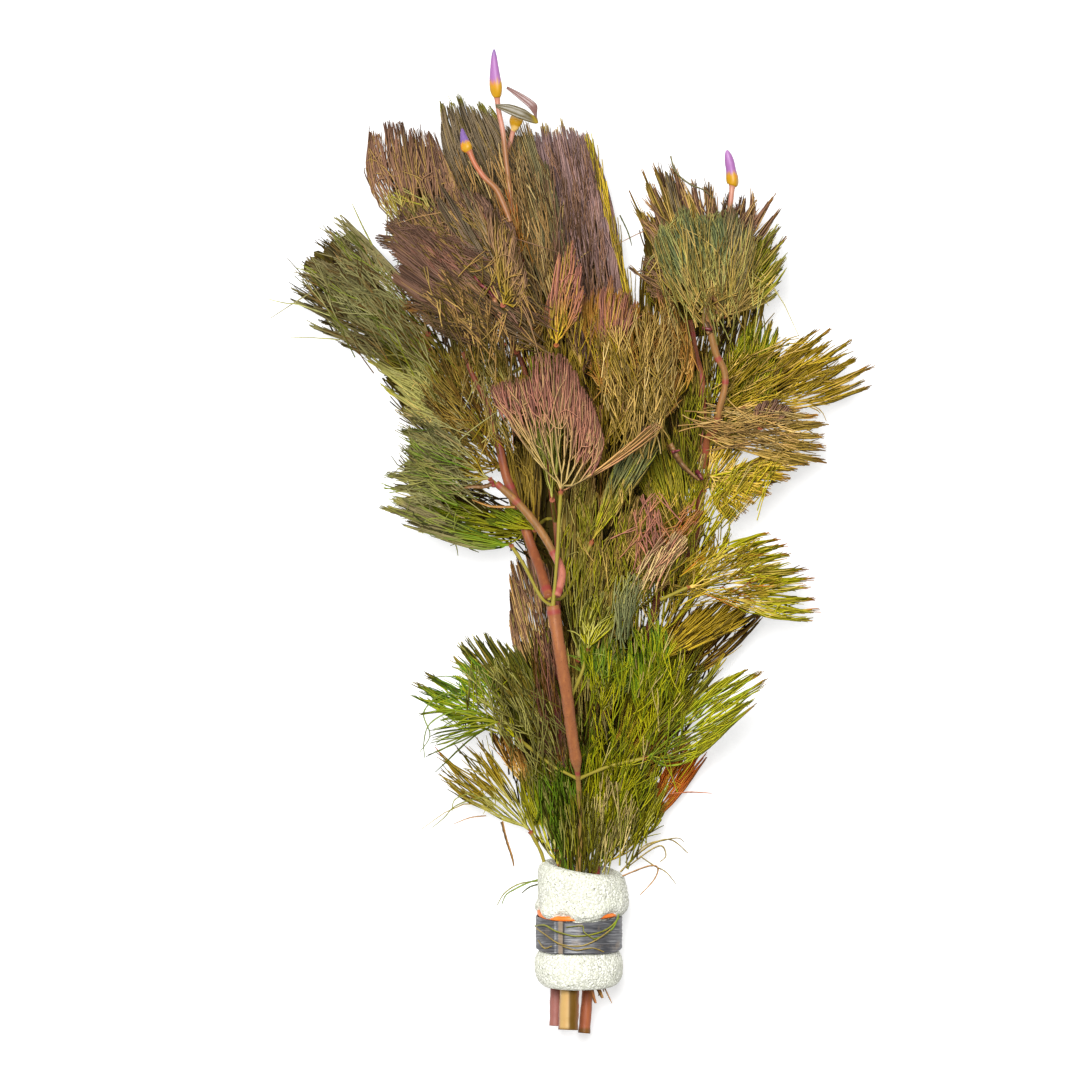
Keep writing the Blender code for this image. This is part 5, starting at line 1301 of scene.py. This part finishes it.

# %% [markdown]
# ## Loose strands
# Wet strands slip out of their sprays: curls at the rim, threads that lie across other leaves, a
# few brown ones that hang down. Each is given as a few places with a layer. The draped
# ones lie over the tie instead, so their height follows its round top.

# %% Loose strands
Wisp = namedtuple("Wisp", "paint radius layer points")
WISPS = [
    Wisp("leaf_green", 0.28, 4.0, ((-8.6, -84.4), (-12.1, -85.6), (-15.1, -87.1), (-17.1, -88.4),
        (-18.1, -90.6))),
    Wisp("deep_green", 0.28, 4.2, ((-8.4, -85.6), (-11.1, -86.4), (-13.1, -87.9))),
    Wisp("moss", 0.24, 4.1, ((-8.6, -84.9), (-13.6, -85.6), (-17.4, -87.9), (-19.4, -91.1))),
    Wisp("olive", 0.3, 3.6, ((11.4, -82.6), (16.4, -77.6), (20.4, -75.1), (24.4, -74.6), (28.4, -77.9))),
    Wisp("bronze", 0.28, 3.8, ((11.9, -83.6), (18.4, -81.1), (20.9, -81.6), (19.9, -84.6), (16.4, -88.4))),
    Wisp("khaki", 0.26, 3.9, ((12.9, -81.6), (18.9, -77.1), (21.9, -76.1), (22.9, -78.6), (21.4, -80.1))),
    Wisp("olive", 0.22, 3.8, ((16.4, -78.6), (20.1, -81.1), (22.9, -82.6), (25.4, -85.6))),
    Wisp("khaki", 0.24, 3.4, ((12.4, -81.6), (17.4, -76.1), (22.4, -74.6), (25.9, -74.1), (27.4, -75.1))),
    Wisp("bronze", 0.22, 1.6, ((-17.9, -69.9), (-17.1, -73.6), (-15.9, -77.6), (-15.1, -81.4))),
    Wisp("brown", 0.45, 1.8, ((-18.1, -70.1), (-16.9, -74.6), (-15.6, -78.6), (-15.1, -81.1))),
    Wisp("leaf_green", 0.24, 2.4, ((-26.1, -39.6), (-32.6, -38.1), (-37.6, -42.6), (-36.1, -48.4),
        (-38.6, -52.6))),
    Wisp("leaf_green", 0.24, 2.2, ((-24.6, -43.6), (-30.6, -42.6), (-36.1, -45.6), (-37.6, -50.1),
        (-37.4, -54.1))),
    Wisp("moss", 0.22, 1.8, ((-18.6, -64.6), (-23.6, -64.1), (-29.6, -66.1), (-32.6, -69.1),
        (-35.6, -71.6))),
    Wisp("moss", 0.2, 2.0, ((-23.6, -64.6), (-26.1, -63.1), (-29.9, -64.6), (-30.6, -67.6))),
    Wisp("bronze", 0.2, 1.6, ((-22.1, -68.6), (-26.1, -69.1), (-30.1, -70.6))),
    Wisp("salmon", 1.15, 1.1, ((-20.1, 61.1), (-19.4, 57.9), (-18.1, 54.9), (-17.1, 52.4))),
    Wisp("crimson", 0.55, 0.9, ((-25.1, 66.4), (-23.6, 64.4), (-21.6, 62.9), (-20.4, 61.1))),
    Wisp("crimson", 0.6, 1.0, ((-20.6, 66.4), (-20.4, 63.4), (-19.9, 60.9))),
    Wisp("stem_tan", 1.0, 2.8, ((24.1, 24.4), (25.4, 21.9), (27.4, 18.9), (31.1, 15.4))),
    Wisp("crimson", 0.5, 2.5, ((24.4, 22.4), (26.4, 22.9))),
    Wisp("crimson", 0.8, 2.9, ((30.6, 17.9), (32.1, 15.4))),
    Wisp("stem_tan", 1.0, 1.5, ((33.6, 51.9), (32.4, 55.4), (32.9, 59.4), (34.4, 60.9), (35.6, 59.6),
        (35.6, 56.9))),
    Wisp("crimson", 0.6, 1.2, ((32.1, 53.4), (35.1, 52.9))),
    Wisp("crimson", 0.45, 1.3, ((34.1, 60.4), (34.6, 61.4))),
    Wisp("rust", 0.22, 6.0, ((23.4, -63.1), (28.9, -62.6), (34.4, -62.9))),
    Wisp("stem_tan", 0.72, 1.7, ((-20.1, 14.4), (-22.6, 13.6), (-25.1, 13.6), (-27.4, 13.4))),
    Wisp("joint_red", 0.8, 1.6, ((-20.6, 15.1), (-20.1, 13.6))),
    Wisp("bronze", 0.42, 2.0, ((-14.9, 8.6), (-18.6, 8.6), (-21.6, 8.9), (-25.6, 10.4))),
    Wisp("moss", 0.2, 5.6, ((-26.1, -1.6), (-29.1, -0.6), (-31.1, -1.1))),
    Wisp("moss", 0.2, 5.6, ((-30.1, 0.4), (-29.4, -1.6), (-29.1, -3.6))),
    Wisp("sage", 0.22, 5.6, ((-61.1, 56.4), (-68.6, 59.1), (-72.6, 59.6), (-76.6, 60.6))),
    Wisp("sage", 0.2, 5.6, ((-58.6, 50.4), (-65.6, 50.9), (-71.1, 50.9))),
    Wisp("moss", 0.26, 5.0, ((-50.6, 74.1), (-53.1, 78.9), (-55.6, 84.4))),
    Wisp("grey_green", 0.3, 4.6, ((24.1, 96.4), (25.4, 92.4), (28.9, 89.4), (32.4, 87.9), (34.9, 85.6))),
    Wisp("deep_green", 0.24, 5.6, ((11.4, 81.6), (13.4, 77.4), (14.4, 73.9))),
    Wisp("bark_light", 0.7, 0.6, ((2.9, -105.1), (4.4, -112.1), (5.4, -115.4))),
    Wisp("bronze", 0.8, 0.9, ((3.4, -105.1), (5.9, -111.1), (7.1, -114.1))),
    Wisp("bronze", 0.3, 1.4, ((4.4, -105.1), (7.1, -110.6), (9.4, -115.4))),
    Wisp("tan", 0.3, 1.6, ((3.9, -105.1), (6.4, -109.6), (7.4, -112.6))),
    Wisp("brown", 0.8, 1.2, ((2.4, -105.1), (4.1, -110.6), (4.9, -113.6))),
    Wisp("bronze", 0.3, 1.6, ((6.4, -105.1), (7.9, -109.6), (8.4, -111.6))),
    Wisp("tan", 0.3, 1.0, ((2.9, -104.6), (5.9, -109.1), (6.6, -112.1))),
    Wisp("brown", 0.4, 1.4, ((4.9, -104.6), (6.4, -110.6), (6.1, -113.6))),
]

DRAPED = [
    Wisp("moss", 0.3, 0, ((-9.9, -96.1), (-7.4, -95.9), (-4.6, -97.4), (0.1, -98.6), (4.9, -98.1),
        (8.6, -96.6), (11.1, -94.1))),
    Wisp("khaki", 0.24, 0, ((-9.6, -96.6), (-7.1, -98.4), (-3.6, -100.6), (1.4, -101.1), (5.4, -99.6),
        (8.9, -97.1))),
    Wisp("moss", 0.22, 0, ((-2.1, -96.4), (1.9, -96.1), (2.4, -97.6), (4.9, -99.4))),
    Wisp("leaf_green", 0.26, 0, ((4.9, -99.4), (7.9, -98.1), (9.9, -96.1), (11.1, -93.1))),
    Wisp("khaki", 0.2, 0, ((-9.1, -99.6), (-7.6, -101.6), (-5.6, -101.1))),
    Wisp("khaki", 0.2, 0, ((-3.1, -101.1), (0.4, -102.1), (4.4, -101.6), (7.4, -102.6))),
]
WISP_STEPS = 6
AXIS_X, AXIS_Z = 1.1, 10.9
DRAPE_RADIUS = 11.1


def wisp_line(wisp, seed):
    """A loose strand, a little wavy, thinner towards its end."""
    points = through(wisp.points, WISP_STEPS * len(wisp.points))
    steps = len(points)
    wave = 0.25 * np.sin(np.linspace(0, 9, steps) + seed)
    height = layer_height(points[:, 0], points[:, 1], wisp.layer) + wave
    taper = 1.0 - 0.55 * np.linspace(0, 1, steps) ** 3
    body = np.column_stack([points, np.maximum(height, 0.3)])
    return Line(body, wisp.radius * taper, np.linspace(0, 1, steps), (seed * 0.37) % 1.0, False)


def draped_line(wisp, seed):
    """A strand that lies over the tie, so its height follows the strip's round top."""
    points = through(wisp.points, WISP_STEPS * len(wisp.points))
    reach = DRAPE_RADIUS + 0.25 * np.sin(np.linspace(0, 7, len(points)) + seed)
    height = AXIS_Z + np.sqrt(np.maximum(reach ** 2 - (points[:, 0] - AXIS_X) ** 2, 0.0))
    body = np.column_stack([points, height])
    return Line(body, wisp.radius, np.linspace(0, 1, len(points)), (seed * 0.37) % 1.0, False)


def wisp_finish(paint):
    f = Finish("loose_" + paint)
    patch = f.cloud(200.0, 3.0)
    f.colour = f.blend(patch.step(0.3, 0.7) * 0.5, paint, "shade", "MULTIPLY")
    return f.done(roughness=0.45)


for paint in sorted({w.paint for w in WISPS + DRAPED}):
    group = [wisp_line(w, i) for i, w in enumerate(WISPS) if w.paint == paint]
    group += [draped_line(w, i) for i, w in enumerate(DRAPED) if w.paint == paint]
    piece = body_of_lines("loose_strands_" + paint, group, wisp_finish(paint), flatness=0.6)
    keep(piece, "green_leaf" if paint in ("lime", "leaf_green", "deep_green") else "olive_leaf")
print("loose strands:", len(WISPS) + len(DRAPED))

# %% [markdown]
# ## Flower buds
# Three buds and a faded flower stand past the leaves on pink stalks. A bud is three petals rolled
# round each other: a yellow, slightly fluted base narrows to a lilac point. Rings round a centre
# line give the shape, and the petals' edges come from three shallow lobes that twist along it.
# The neck is the number of the place where the stalk ends and the petals begin.

# %% Buds
Bud = namedtuple("Bud", "name layers neck paints points")
BUDS = [
    Bud("top_bud", (4.2, 3.9, 3.0), 5.2, "bud_pink bud_orange lilac violet", ((-15.4, 77.4, 0.6),
        (-16.1, 86.6, 0.65), (-17.1, 95.4, 0.65), (-17.9, 102.4, 0.65), (-18.9, 107.4, 0.65),
        (-19.3, 110.6, 0.75), (-19.4, 111.8, 1.3), (-19.5, 113.6, 1.62), (-19.8, 116.1, 1.4),
        (-20, 118.9, 1.05), (-20.1, 121.4, 0.7), (-20.1, 123, 0.25))),
    Bud("left_bud", (2.0, 1.9, 1.9), 5.2, "salmon_stalk bud_orange violet violet", ((-16.1, 79.9, 0.6),
        (-17.6, 83.9, 0.75), (-19.6, 88.1, 0.8), (-22.6, 91.1, 0.7), (-24.9, 94.4, 0.65),
        (-26.1, 97.1, 0.75), (-26.8, 98.4, 1.45), (-27.4, 100.1, 1.15), (-27.9, 101.9, 0.7),
        (-28.1, 103.2, 0.25))),
    Bud("right_bud", (4.7, 4.7, 4.2), 3.2, "bud_pink bud_orange lilac pale_lilac", ((37.9, 75.4, 0.6),
        (38.6, 81.6, 0.65), (39.1, 85.4, 0.65), (39.4, 88.4, 0.75), (39.6, 89.4, 1.4), (39.5, 90.9, 1.55),
        (39.2, 92.9, 1.3), (38.8, 94.9, 1.23), (38.4, 96.6, 0.9), (38.1, 97.8, 0.35))),
    Bud("faded_flower", (5.9, 5.0), 3.2, "bud_pink cream bud_orange bud_orange", ((-17.6, 91.4, 0.55),
        (-16.9, 96.6, 0.55), (-16.1, 99.6, 0.6), (-15.4, 102.4, 0.65), (-14.9, 103.6, 1.3),
        (-14.6, 105, 1.05), (-14.4, 105.8, 0.5))),
]

BUD_RINGS = 90

for bud in BUDS:
    line = through(bud.points, BUD_RINGS)
    layers = through([(v,) for v in bud.layers], BUD_RINGS)[:, 0]
    height = layer_height(line[:, 0], line[:, 1], layers)
    points = np.column_stack([line[:, :2], height])
    share = np.linspace(0, 1, BUD_RINGS)
    neck = bud.neck / (len(bud.points) - 1)
    head = np.clip((share - neck) / (1 - neck), 0, 1)
    if bud.name == "faded_flower":
        line[:, 2] = np.where(head > 0, 0.75 + 0.95 * ease(head * 1.4), line[:, 2])
    piece = ring_tube(bud.name + "_petals", points, line[:, 2] * 0.98,
                      {"along": share, "head": head}, sides=24, lobes=3,
                      lobe_depth=0.13 * ease(head * 4) * (1 - head), twist=1.6)
    stalk, base, petal, tip = bud.paints.split()
    f = Finish(bud.name + "_petal")
    head_wire = f.attribute("head")
    vein = f.cloud(1400.0, 2.0, f.place((1.0, 0.15, 1.0)))
    patch = f.cloud(420.0, 3.0)
    f.colour = f.blend(patch.step(0.35, 0.7) * 0.6, stalk, "stalk_pink")
    foot = f.attribute("along").step(neck * 0.64, neck * 0.46)
    f.over(foot * 0.85, "stalk_foot")
    f.over(head_wire.step(0.01, 0.06), base)
    f.over((head_wire + (vein - 0.5) * 0.22).step(0.36, 0.50), petal)
    f.over(head_wire.step(0.7, 1.0) * 0.8, tip)
    rust = patch.step(0.55, 0.62) * head_wire.step(0.02, 0.06) * head_wire.step(0.5, 0.3)
    f.over(rust * 0.6, "rust")
    piece.data.materials.append(f.done(roughness=0.5,
                                       normal=f.bump(vein, 0.4, 0.0002)))
    keep(piece, "faded_flower" if bud.name == "faded_flower" else "bud", bud.name)
print("buds:", len(BUDS))

# %% [markdown]
# ## The floating leaf
# Fanwort makes a few small plain blades beside its flowers. This one is folded back over itself:
# an olive blade to the fold, then a narrow mauve one back. It is a strip of rows across the
# blade, and a Solidify modifier gives it its thickness.

# %% Floating leaf
FOLD_ROWS = (
    ((-19.8, 109.2), (-19.6, 108.6), 2.2), ((-16.3, 109.3), (-16.4, 106.9), 2.2),
    ((-12.6, 108.1), (-12.9, 105.4), 2.2), ((-10.0, 106.5), (-9.2, 104.6), 1.9),
    ((-9.4, 109.1), (-11.0, 108.0), 1.2), ((-12.6, 111.6), (-13.8, 110.6), 1.1),
    ((-16.8, 113.7), (-17.0, 113.3), 1.1),
)
BLADE_ROWS = 40
BLADE_SHARES = (0.0, 0.25, 0.5, 0.75, 1.0)
BLADE_ARCH = 0.35
left = through([a for a, b, c in FOLD_ROWS], BLADE_ROWS)
right = through([b for a, b, c in FOLD_ROWS], BLADE_ROWS)
layers = through([(c,) for a, b, c in FOLD_ROWS], BLADE_ROWS)[:, 0]
verts = []
for r in range(BLADE_ROWS):
    for share in BLADE_SHARES:
        x, y = left[r] * (1 - share) + right[r] * share
        height = float(layer_height(x, y, layers[r])) - BLADE_ARCH * math.sin(math.pi * share)
        verts.append((x, y, height))
mesh = smooth_mesh("folded_blade", verts, grid_faces(BLADE_ROWS, len(BLADE_SHARES)))
label(mesh, "along", np.repeat(np.linspace(0, 1, BLADE_ROWS), len(BLADE_SHARES)))
blade = put("folded_blade", mesh)
f = Finish("folded_blade_skin")
along = f.attribute("along")
vein = f.cloud(1100.0, 3.0, f.place((0.2, 1.0, 1.0)))
f.colour = f.blend(along.step(0.52, 0.58), "blade_olive", "blade_mauve")
f.over(vein.step(0.45, 0.75) * 0.2, "shade", "MULTIPLY")
f.over(along.step(0.40, 0.5) * along.step(0.60, 0.52) * 0.8, "olive")
mesh.materials.append(f.done(roughness=0.4, normal=f.bump(vein, 0.3, 0.0002)))
thick = blade.modifiers.new("thickness", "SOLIDIFY")
thick.thickness, thick.offset = 0.25 * MM, 0.0
keep(blade, "floating_leaf", "floating_leaf")

# %% [markdown]
# ## The tie: foam, band and lead
# A sleeve of open foam is wrapped round the stems, held by an orange rubber band and clamped by
# a strip of soft lead. Foam is a soft thing: it bulges above and below the strip, leans, and is
# pressed flat where it rests. It is a turned profile whose points are then pushed about in code,
# first by broad lumps and then by pores. The profile closes round the stems a little inside each
# mouth, as a wrapped sleeve does. All three parts lean the same way round one axis.

# %% The tie's axis
TIE_SLANT = 0.16


def round_axis(radius, angle, y):
    """Place on the tie at a radius and an angle (0 to the right, 90 degrees up), in millimetres."""
    z = AXIS_Z + radius * np.sin(angle)
    return np.stack([AXIS_X + radius * np.cos(angle), y - TIE_SLANT * (z - AXIS_Z), z], axis=-1)


def closed_ring(name, points):
    """A ring-shaped piece from a grid of points that closes both ways, faces outwards."""
    rows, columns = points.shape[:2]
    faces = [face[::-1] for face in grid_faces(rows, columns, True, True)]
    return put(name, smooth_mesh(name, points, faces))


# %% Foam sleeve
FOAM_PROFILE = (
    (7.4, -83.4), (8.3, -82.0), (9.5, -81.9), (10.6, -82.8), (11.2, -84.6), (11.35, -86.6),
    (11.3, -88.6), (10.8, -90.4), (9.9, -91.5), (9.2, -92.2), (9.1, -93.4), (9.3, -94.2),
    (9.4, -98.0), (9.4, -101.2), (10.0, -102.2), (10.9, -103.6), (11.25, -105.4), (11.1, -107.6),
    (10.4, -109.6), (9.4, -110.7), (8.2, -110.8), (7.3, -110.2), (6.3, -109.2), (3.8, -108.7),
    (1.3, -108.4), (0.9, -107.0), (0.9, -98.0), (0.9, -89.0), (1.3, -87.4), (4.0, -86.9),
    (6.4, -86.3), (7.2, -85.0),
)
FOAM_ROWS, FOAM_SIDES = 170, 260
ring = through(FOAM_PROFILE + FOAM_PROFILE[:1], FOAM_ROWS + 1)[:-1]
angle = np.linspace(0, 2 * math.pi, FOAM_SIDES, endpoint=False)
radius = np.broadcast_to(ring[:, 0][:, None], (FOAM_ROWS, FOAM_SIDES)).copy()
along_y = np.broadcast_to(ring[:, 1][:, None], (FOAM_ROWS, FOAM_SIDES)).copy()
outside = ease((radius - 8.2) / 1.2)
free = outside * ease((np.abs(along_y + 97.8) - 4.3) / 1.2)
points = round_axis(radius, angle[None, :], along_y)
lump = np.array([
    0.45 * noise.noise(Vector(p) * 0.16) + 0.20 * noise.noise(Vector(p) * 0.5)
    + 0.17 * noise.noise(Vector(p) * 1.3) - 0.24 * max(0.0, noise.noise(Vector(p) * 2.2) - 0.12)
    for p in points.reshape(-1, 3)
]).reshape(radius.shape)
bulge = 0.55 * bell(along_y, -87.5, 2.4) * bell(angle, 0.35, 0.6)
radius = radius + lump * free + bulge * outside - 0.25 * free
hides_band = 1.0 - 0.9 * bell(angle, 1.98, 0.22) - 0.7 * bell(angle, 0.75, 0.28)
hides_band = hides_band - bell(angle, 2.95, 0.30)
roll = ease((-88.0 - along_y) / 2.5) * ease((along_y + 93.6) / 1.2) * np.clip(hides_band, 0.0, 1.0)
radius = radius + 1.3 * roll
along_y = along_y - 1.6 * roll
leaning = ease((along_y + 90.0) / 6.0)
points = round_axis(radius, angle[None, :], along_y)
points[..., 1] -= 0.17 * leaning * (points[..., 0] - AXIS_X - 3.0)
points[..., 0] += 0.8 * ease((along_y + 92.5) / 3.0)
height = points[..., 2]
flattened = 0.05 + 0.55 * np.exp(np.minimum(height - 0.6, 0.0) / 0.55)
points[..., 2] = np.where(height < 0.6, flattened, height)
foam = closed_ring("foam_sleeve", points)
f = Finish("open_foam")
pore = f.node("ShaderNodeTexVoronoi", {}, {"Vector": f.place(), "Scale": 1700.0})
fine = f.cloud(3600.0, 2.0)
patch = f.cloud(230.0, 3.0)
f.colour = f.blend(pore.step(0.30, 0.62) * 0.6, "foam", "foam_shade")
f.over(patch.step(0.35, 0.75) * 0.5, "foam_green")
f.over(fine.step(0.54, 0.64) * 0.6, "foam_shade")
speck = f.cloud(1300.0, 1.0)
f.over(speck.step(0.70, 0.74) * 0.7, "foam_speck")
foam.data.materials.append(f.done(roughness=0.9,
                                  normal=f.bump(pore * 0.8 + fine, 0.8, 0.0005)))
keep(foam, "foam", "foam_collar")
print("foam sleeve:", len(foam.data.vertices), "points")

# %% [markdown]
# The rubber band is a ring in the groove above the strip. It shows only where the foam leaves it
# bare, so a plain ring is enough, a little uneven so that it doesn't look machined.

# %% Rubber band
turn = np.linspace(0, 2 * math.pi, 120, endpoint=False)
small = np.linspace(0, 2 * math.pi, 14, endpoint=False)
reach = 9.95 + 0.07 * np.sin(3 * turn + 1.0)[:, None] + 0.55 * np.cos(small)[None, :]
height = -92.7 + 0.25 * np.sin(2 * turn)[:, None] + 0.62 * np.sin(small)[None, :]
points = round_axis(reach, turn[:, None], height)
band = closed_ring("orange_band", points)
f = Finish("orange_rubber")
scuff = f.cloud(500.0, 3.0)
f.colour = f.blend(scuff.step(0.4, 0.7) * 0.5, "band", "band_light")
band.data.materials.append(f.done(roughness=0.5))
keep(band, "rubber", "rubber_band")

# %% [markdown]
# The lead strip is rolled out of soft metal, so it has fine grooves along its length, dented
# edges, and a seam in front: its start is tucked in below its end, and a narrow gap shows it.

# %% Lead strip
STRIP_TOP_Y, STRIP_WIDTH = -93.5, 8.1
STRIP_THICKNESS = 0.5
TONGUE_DEG, RISE_DEG, END_DEG = 96.0, 120.0, 471.0
STRIP_STEPS, GROOVES = 280, 30
rng = random.Random(11)
angle = np.radians(np.linspace(TONGUE_DEG, END_DEG, STRIP_STEPS))
rise = ease((np.degrees(angle) - RISE_DEG) / 5.0)
inner = 9.72 + 0.58 * rise
across = np.linspace(0.0, 1.0, GROOVES)
groove = np.array([rng.uniform(-0.075, 0.06) for _ in across])
groove[[0, -1]] = -0.1
wobble = 0.04 * np.sin(angle * 7.0) + 0.03 * np.sin(angle * 17.0 + 1.0)
top = STRIP_TOP_Y + 0.15 * np.sin(angle * 3.0) + 0.06 * np.sin(angle * 19.0)
low = STRIP_TOP_Y - STRIP_WIDTH + 0.12 * np.sin(angle * 4.0 + 2.0)
y = top[:, None] * (1 - across) + low[:, None] * across
shallow = np.array([[
    0.05 * noise.noise(Vector((a * 6.0, b * 40.0, 3.0))) for b in across] for a in angle])
outer = (inner + STRIP_THICKNESS + wobble)[:, None] + groove[None, :] + shallow
inside = np.broadcast_to((inner + wobble)[:, None], outer.shape)
section = np.concatenate([outer, inside[:, ::-1]], axis=1)
section_y = np.concatenate([y, y[:, ::-1]], axis=1)
points = round_axis(section, angle[:, None], section_y)
points[..., 2] = np.maximum(points[..., 2], 0.05)
count, half = section.shape[1], section.shape[1] // 2
faces = grid_faces(STRIP_STEPS, count, False, True)
for side, start in enumerate((0, (STRIP_STEPS - 1) * count)):
    for i in range(half - 1):
        quad = (start + i, start + i + 1, start + count - 2 - i, start + count - 1 - i)
        faces.append(quad if side else quad[::-1])
mesh = smooth_mesh("lead_wrap", points, faces)
strip = put("lead_wrap", mesh)
f = Finish("dull_lead")
groove_lines = f.cloud(2600.0, 3.0, f.place((0.06, 1.0, 0.06)))
stain = f.cloud(300.0, 3.0)
# Bright lines along the strip, painted in lead_light.
bright_streak = f.cloud(5200.0, 1.0, f.place((0.03, 1.0, 0.03)))
f.colour = f.blend(groove_lines.step(0.35, 0.7), "lead_dark", "lead")
f.over(bright_streak.step(0.6, 0.72) * 0.6, "lead_light")
f.over(stain.step(0.55, 0.75) * 0.35, "lead_stain")
across_x = f.axis(0)
on_top = f.axis(2).step(0.015, 0.017)
gap = across_x.step(-0.0043, -0.0041) * across_x.step(-0.0026, -0.0028) * on_top
f.over(gap * 0.75, "lead_stain")
# Both walls of the seam's narrow gap are painted dark: painted shade in the groove.
seam_wall_shade = across_x.step(-0.0047, -0.0043) * across_x.step(-0.0038, -0.0042)
seam_wall_shade = seam_wall_shade + across_x.step(-0.0031, -0.0028) * across_x.step(-0.0023, -0.0027)
f.over(seam_wall_shade * on_top * 0.95, "lead_dark")
mesh.materials.append(f.done(metallic=0.4, roughness=0.5,
                             normal=f.bump(groove_lines + bright_streak * 0.5, 0.5, 0.0002)))
keep(strip, "lead", "lead_strip")
print("lead strip:", len(mesh.vertices), "points")

# %% [markdown]
# ## Table, light and camera
# A pale table, a broad soft light a little up and to the left, and a camera straight above that
# keeps parallel lines parallel, as the flat view of the bunch needs.

# %% Table, light and camera
TABLE_SIZE, TABLE_TOP = 4.0, -0.0006
bpy.ops.mesh.primitive_plane_add(size=TABLE_SIZE, location=(0.0, 0.0, TABLE_TOP))
table = bpy.context.object
table.name = "table"
f = Finish("pale_table")
f.colour = (0.50, 0.50, 0.50)
table.data.materials.append(f.done(roughness=0.9, emission_color=(1.0, 1.0, 1.0),
                                   emission_strength=0.60))

world = bpy.context.scene.world or bpy.data.worlds.new("studio")
bpy.context.scene.world = world
world.use_nodes = True
world.node_tree.nodes["Background"].inputs["Color"].default_value = (1.0, 1.0, 1.0, 1.0)
world.node_tree.nodes["Background"].inputs["Strength"].default_value = 0.26


def soft_light(name, place, size, power):
    data = bpy.data.lights.new(name, "AREA")
    data.shape = "DISK"
    data.size = size
    data.energy = power
    lamp = put(name, data)
    lamp.location = place
    lamp.rotation_euler = (-Vector(place)).to_track_quat("-Z", "Y").to_euler()


soft_light("window", (-0.20, 0.28, 1.50), 0.80, 42.0)

camera_data = bpy.data.cameras.new("camera")
camera_data.type = "ORTHO"
camera_data.ortho_scale = 0.270
camera = put("camera", camera_data)
camera.location = (-0.008625, 0.000375, 0.8)
bpy.context.scene.camera = camera
bpy.context.scene.view_settings.view_transform = "Standard"
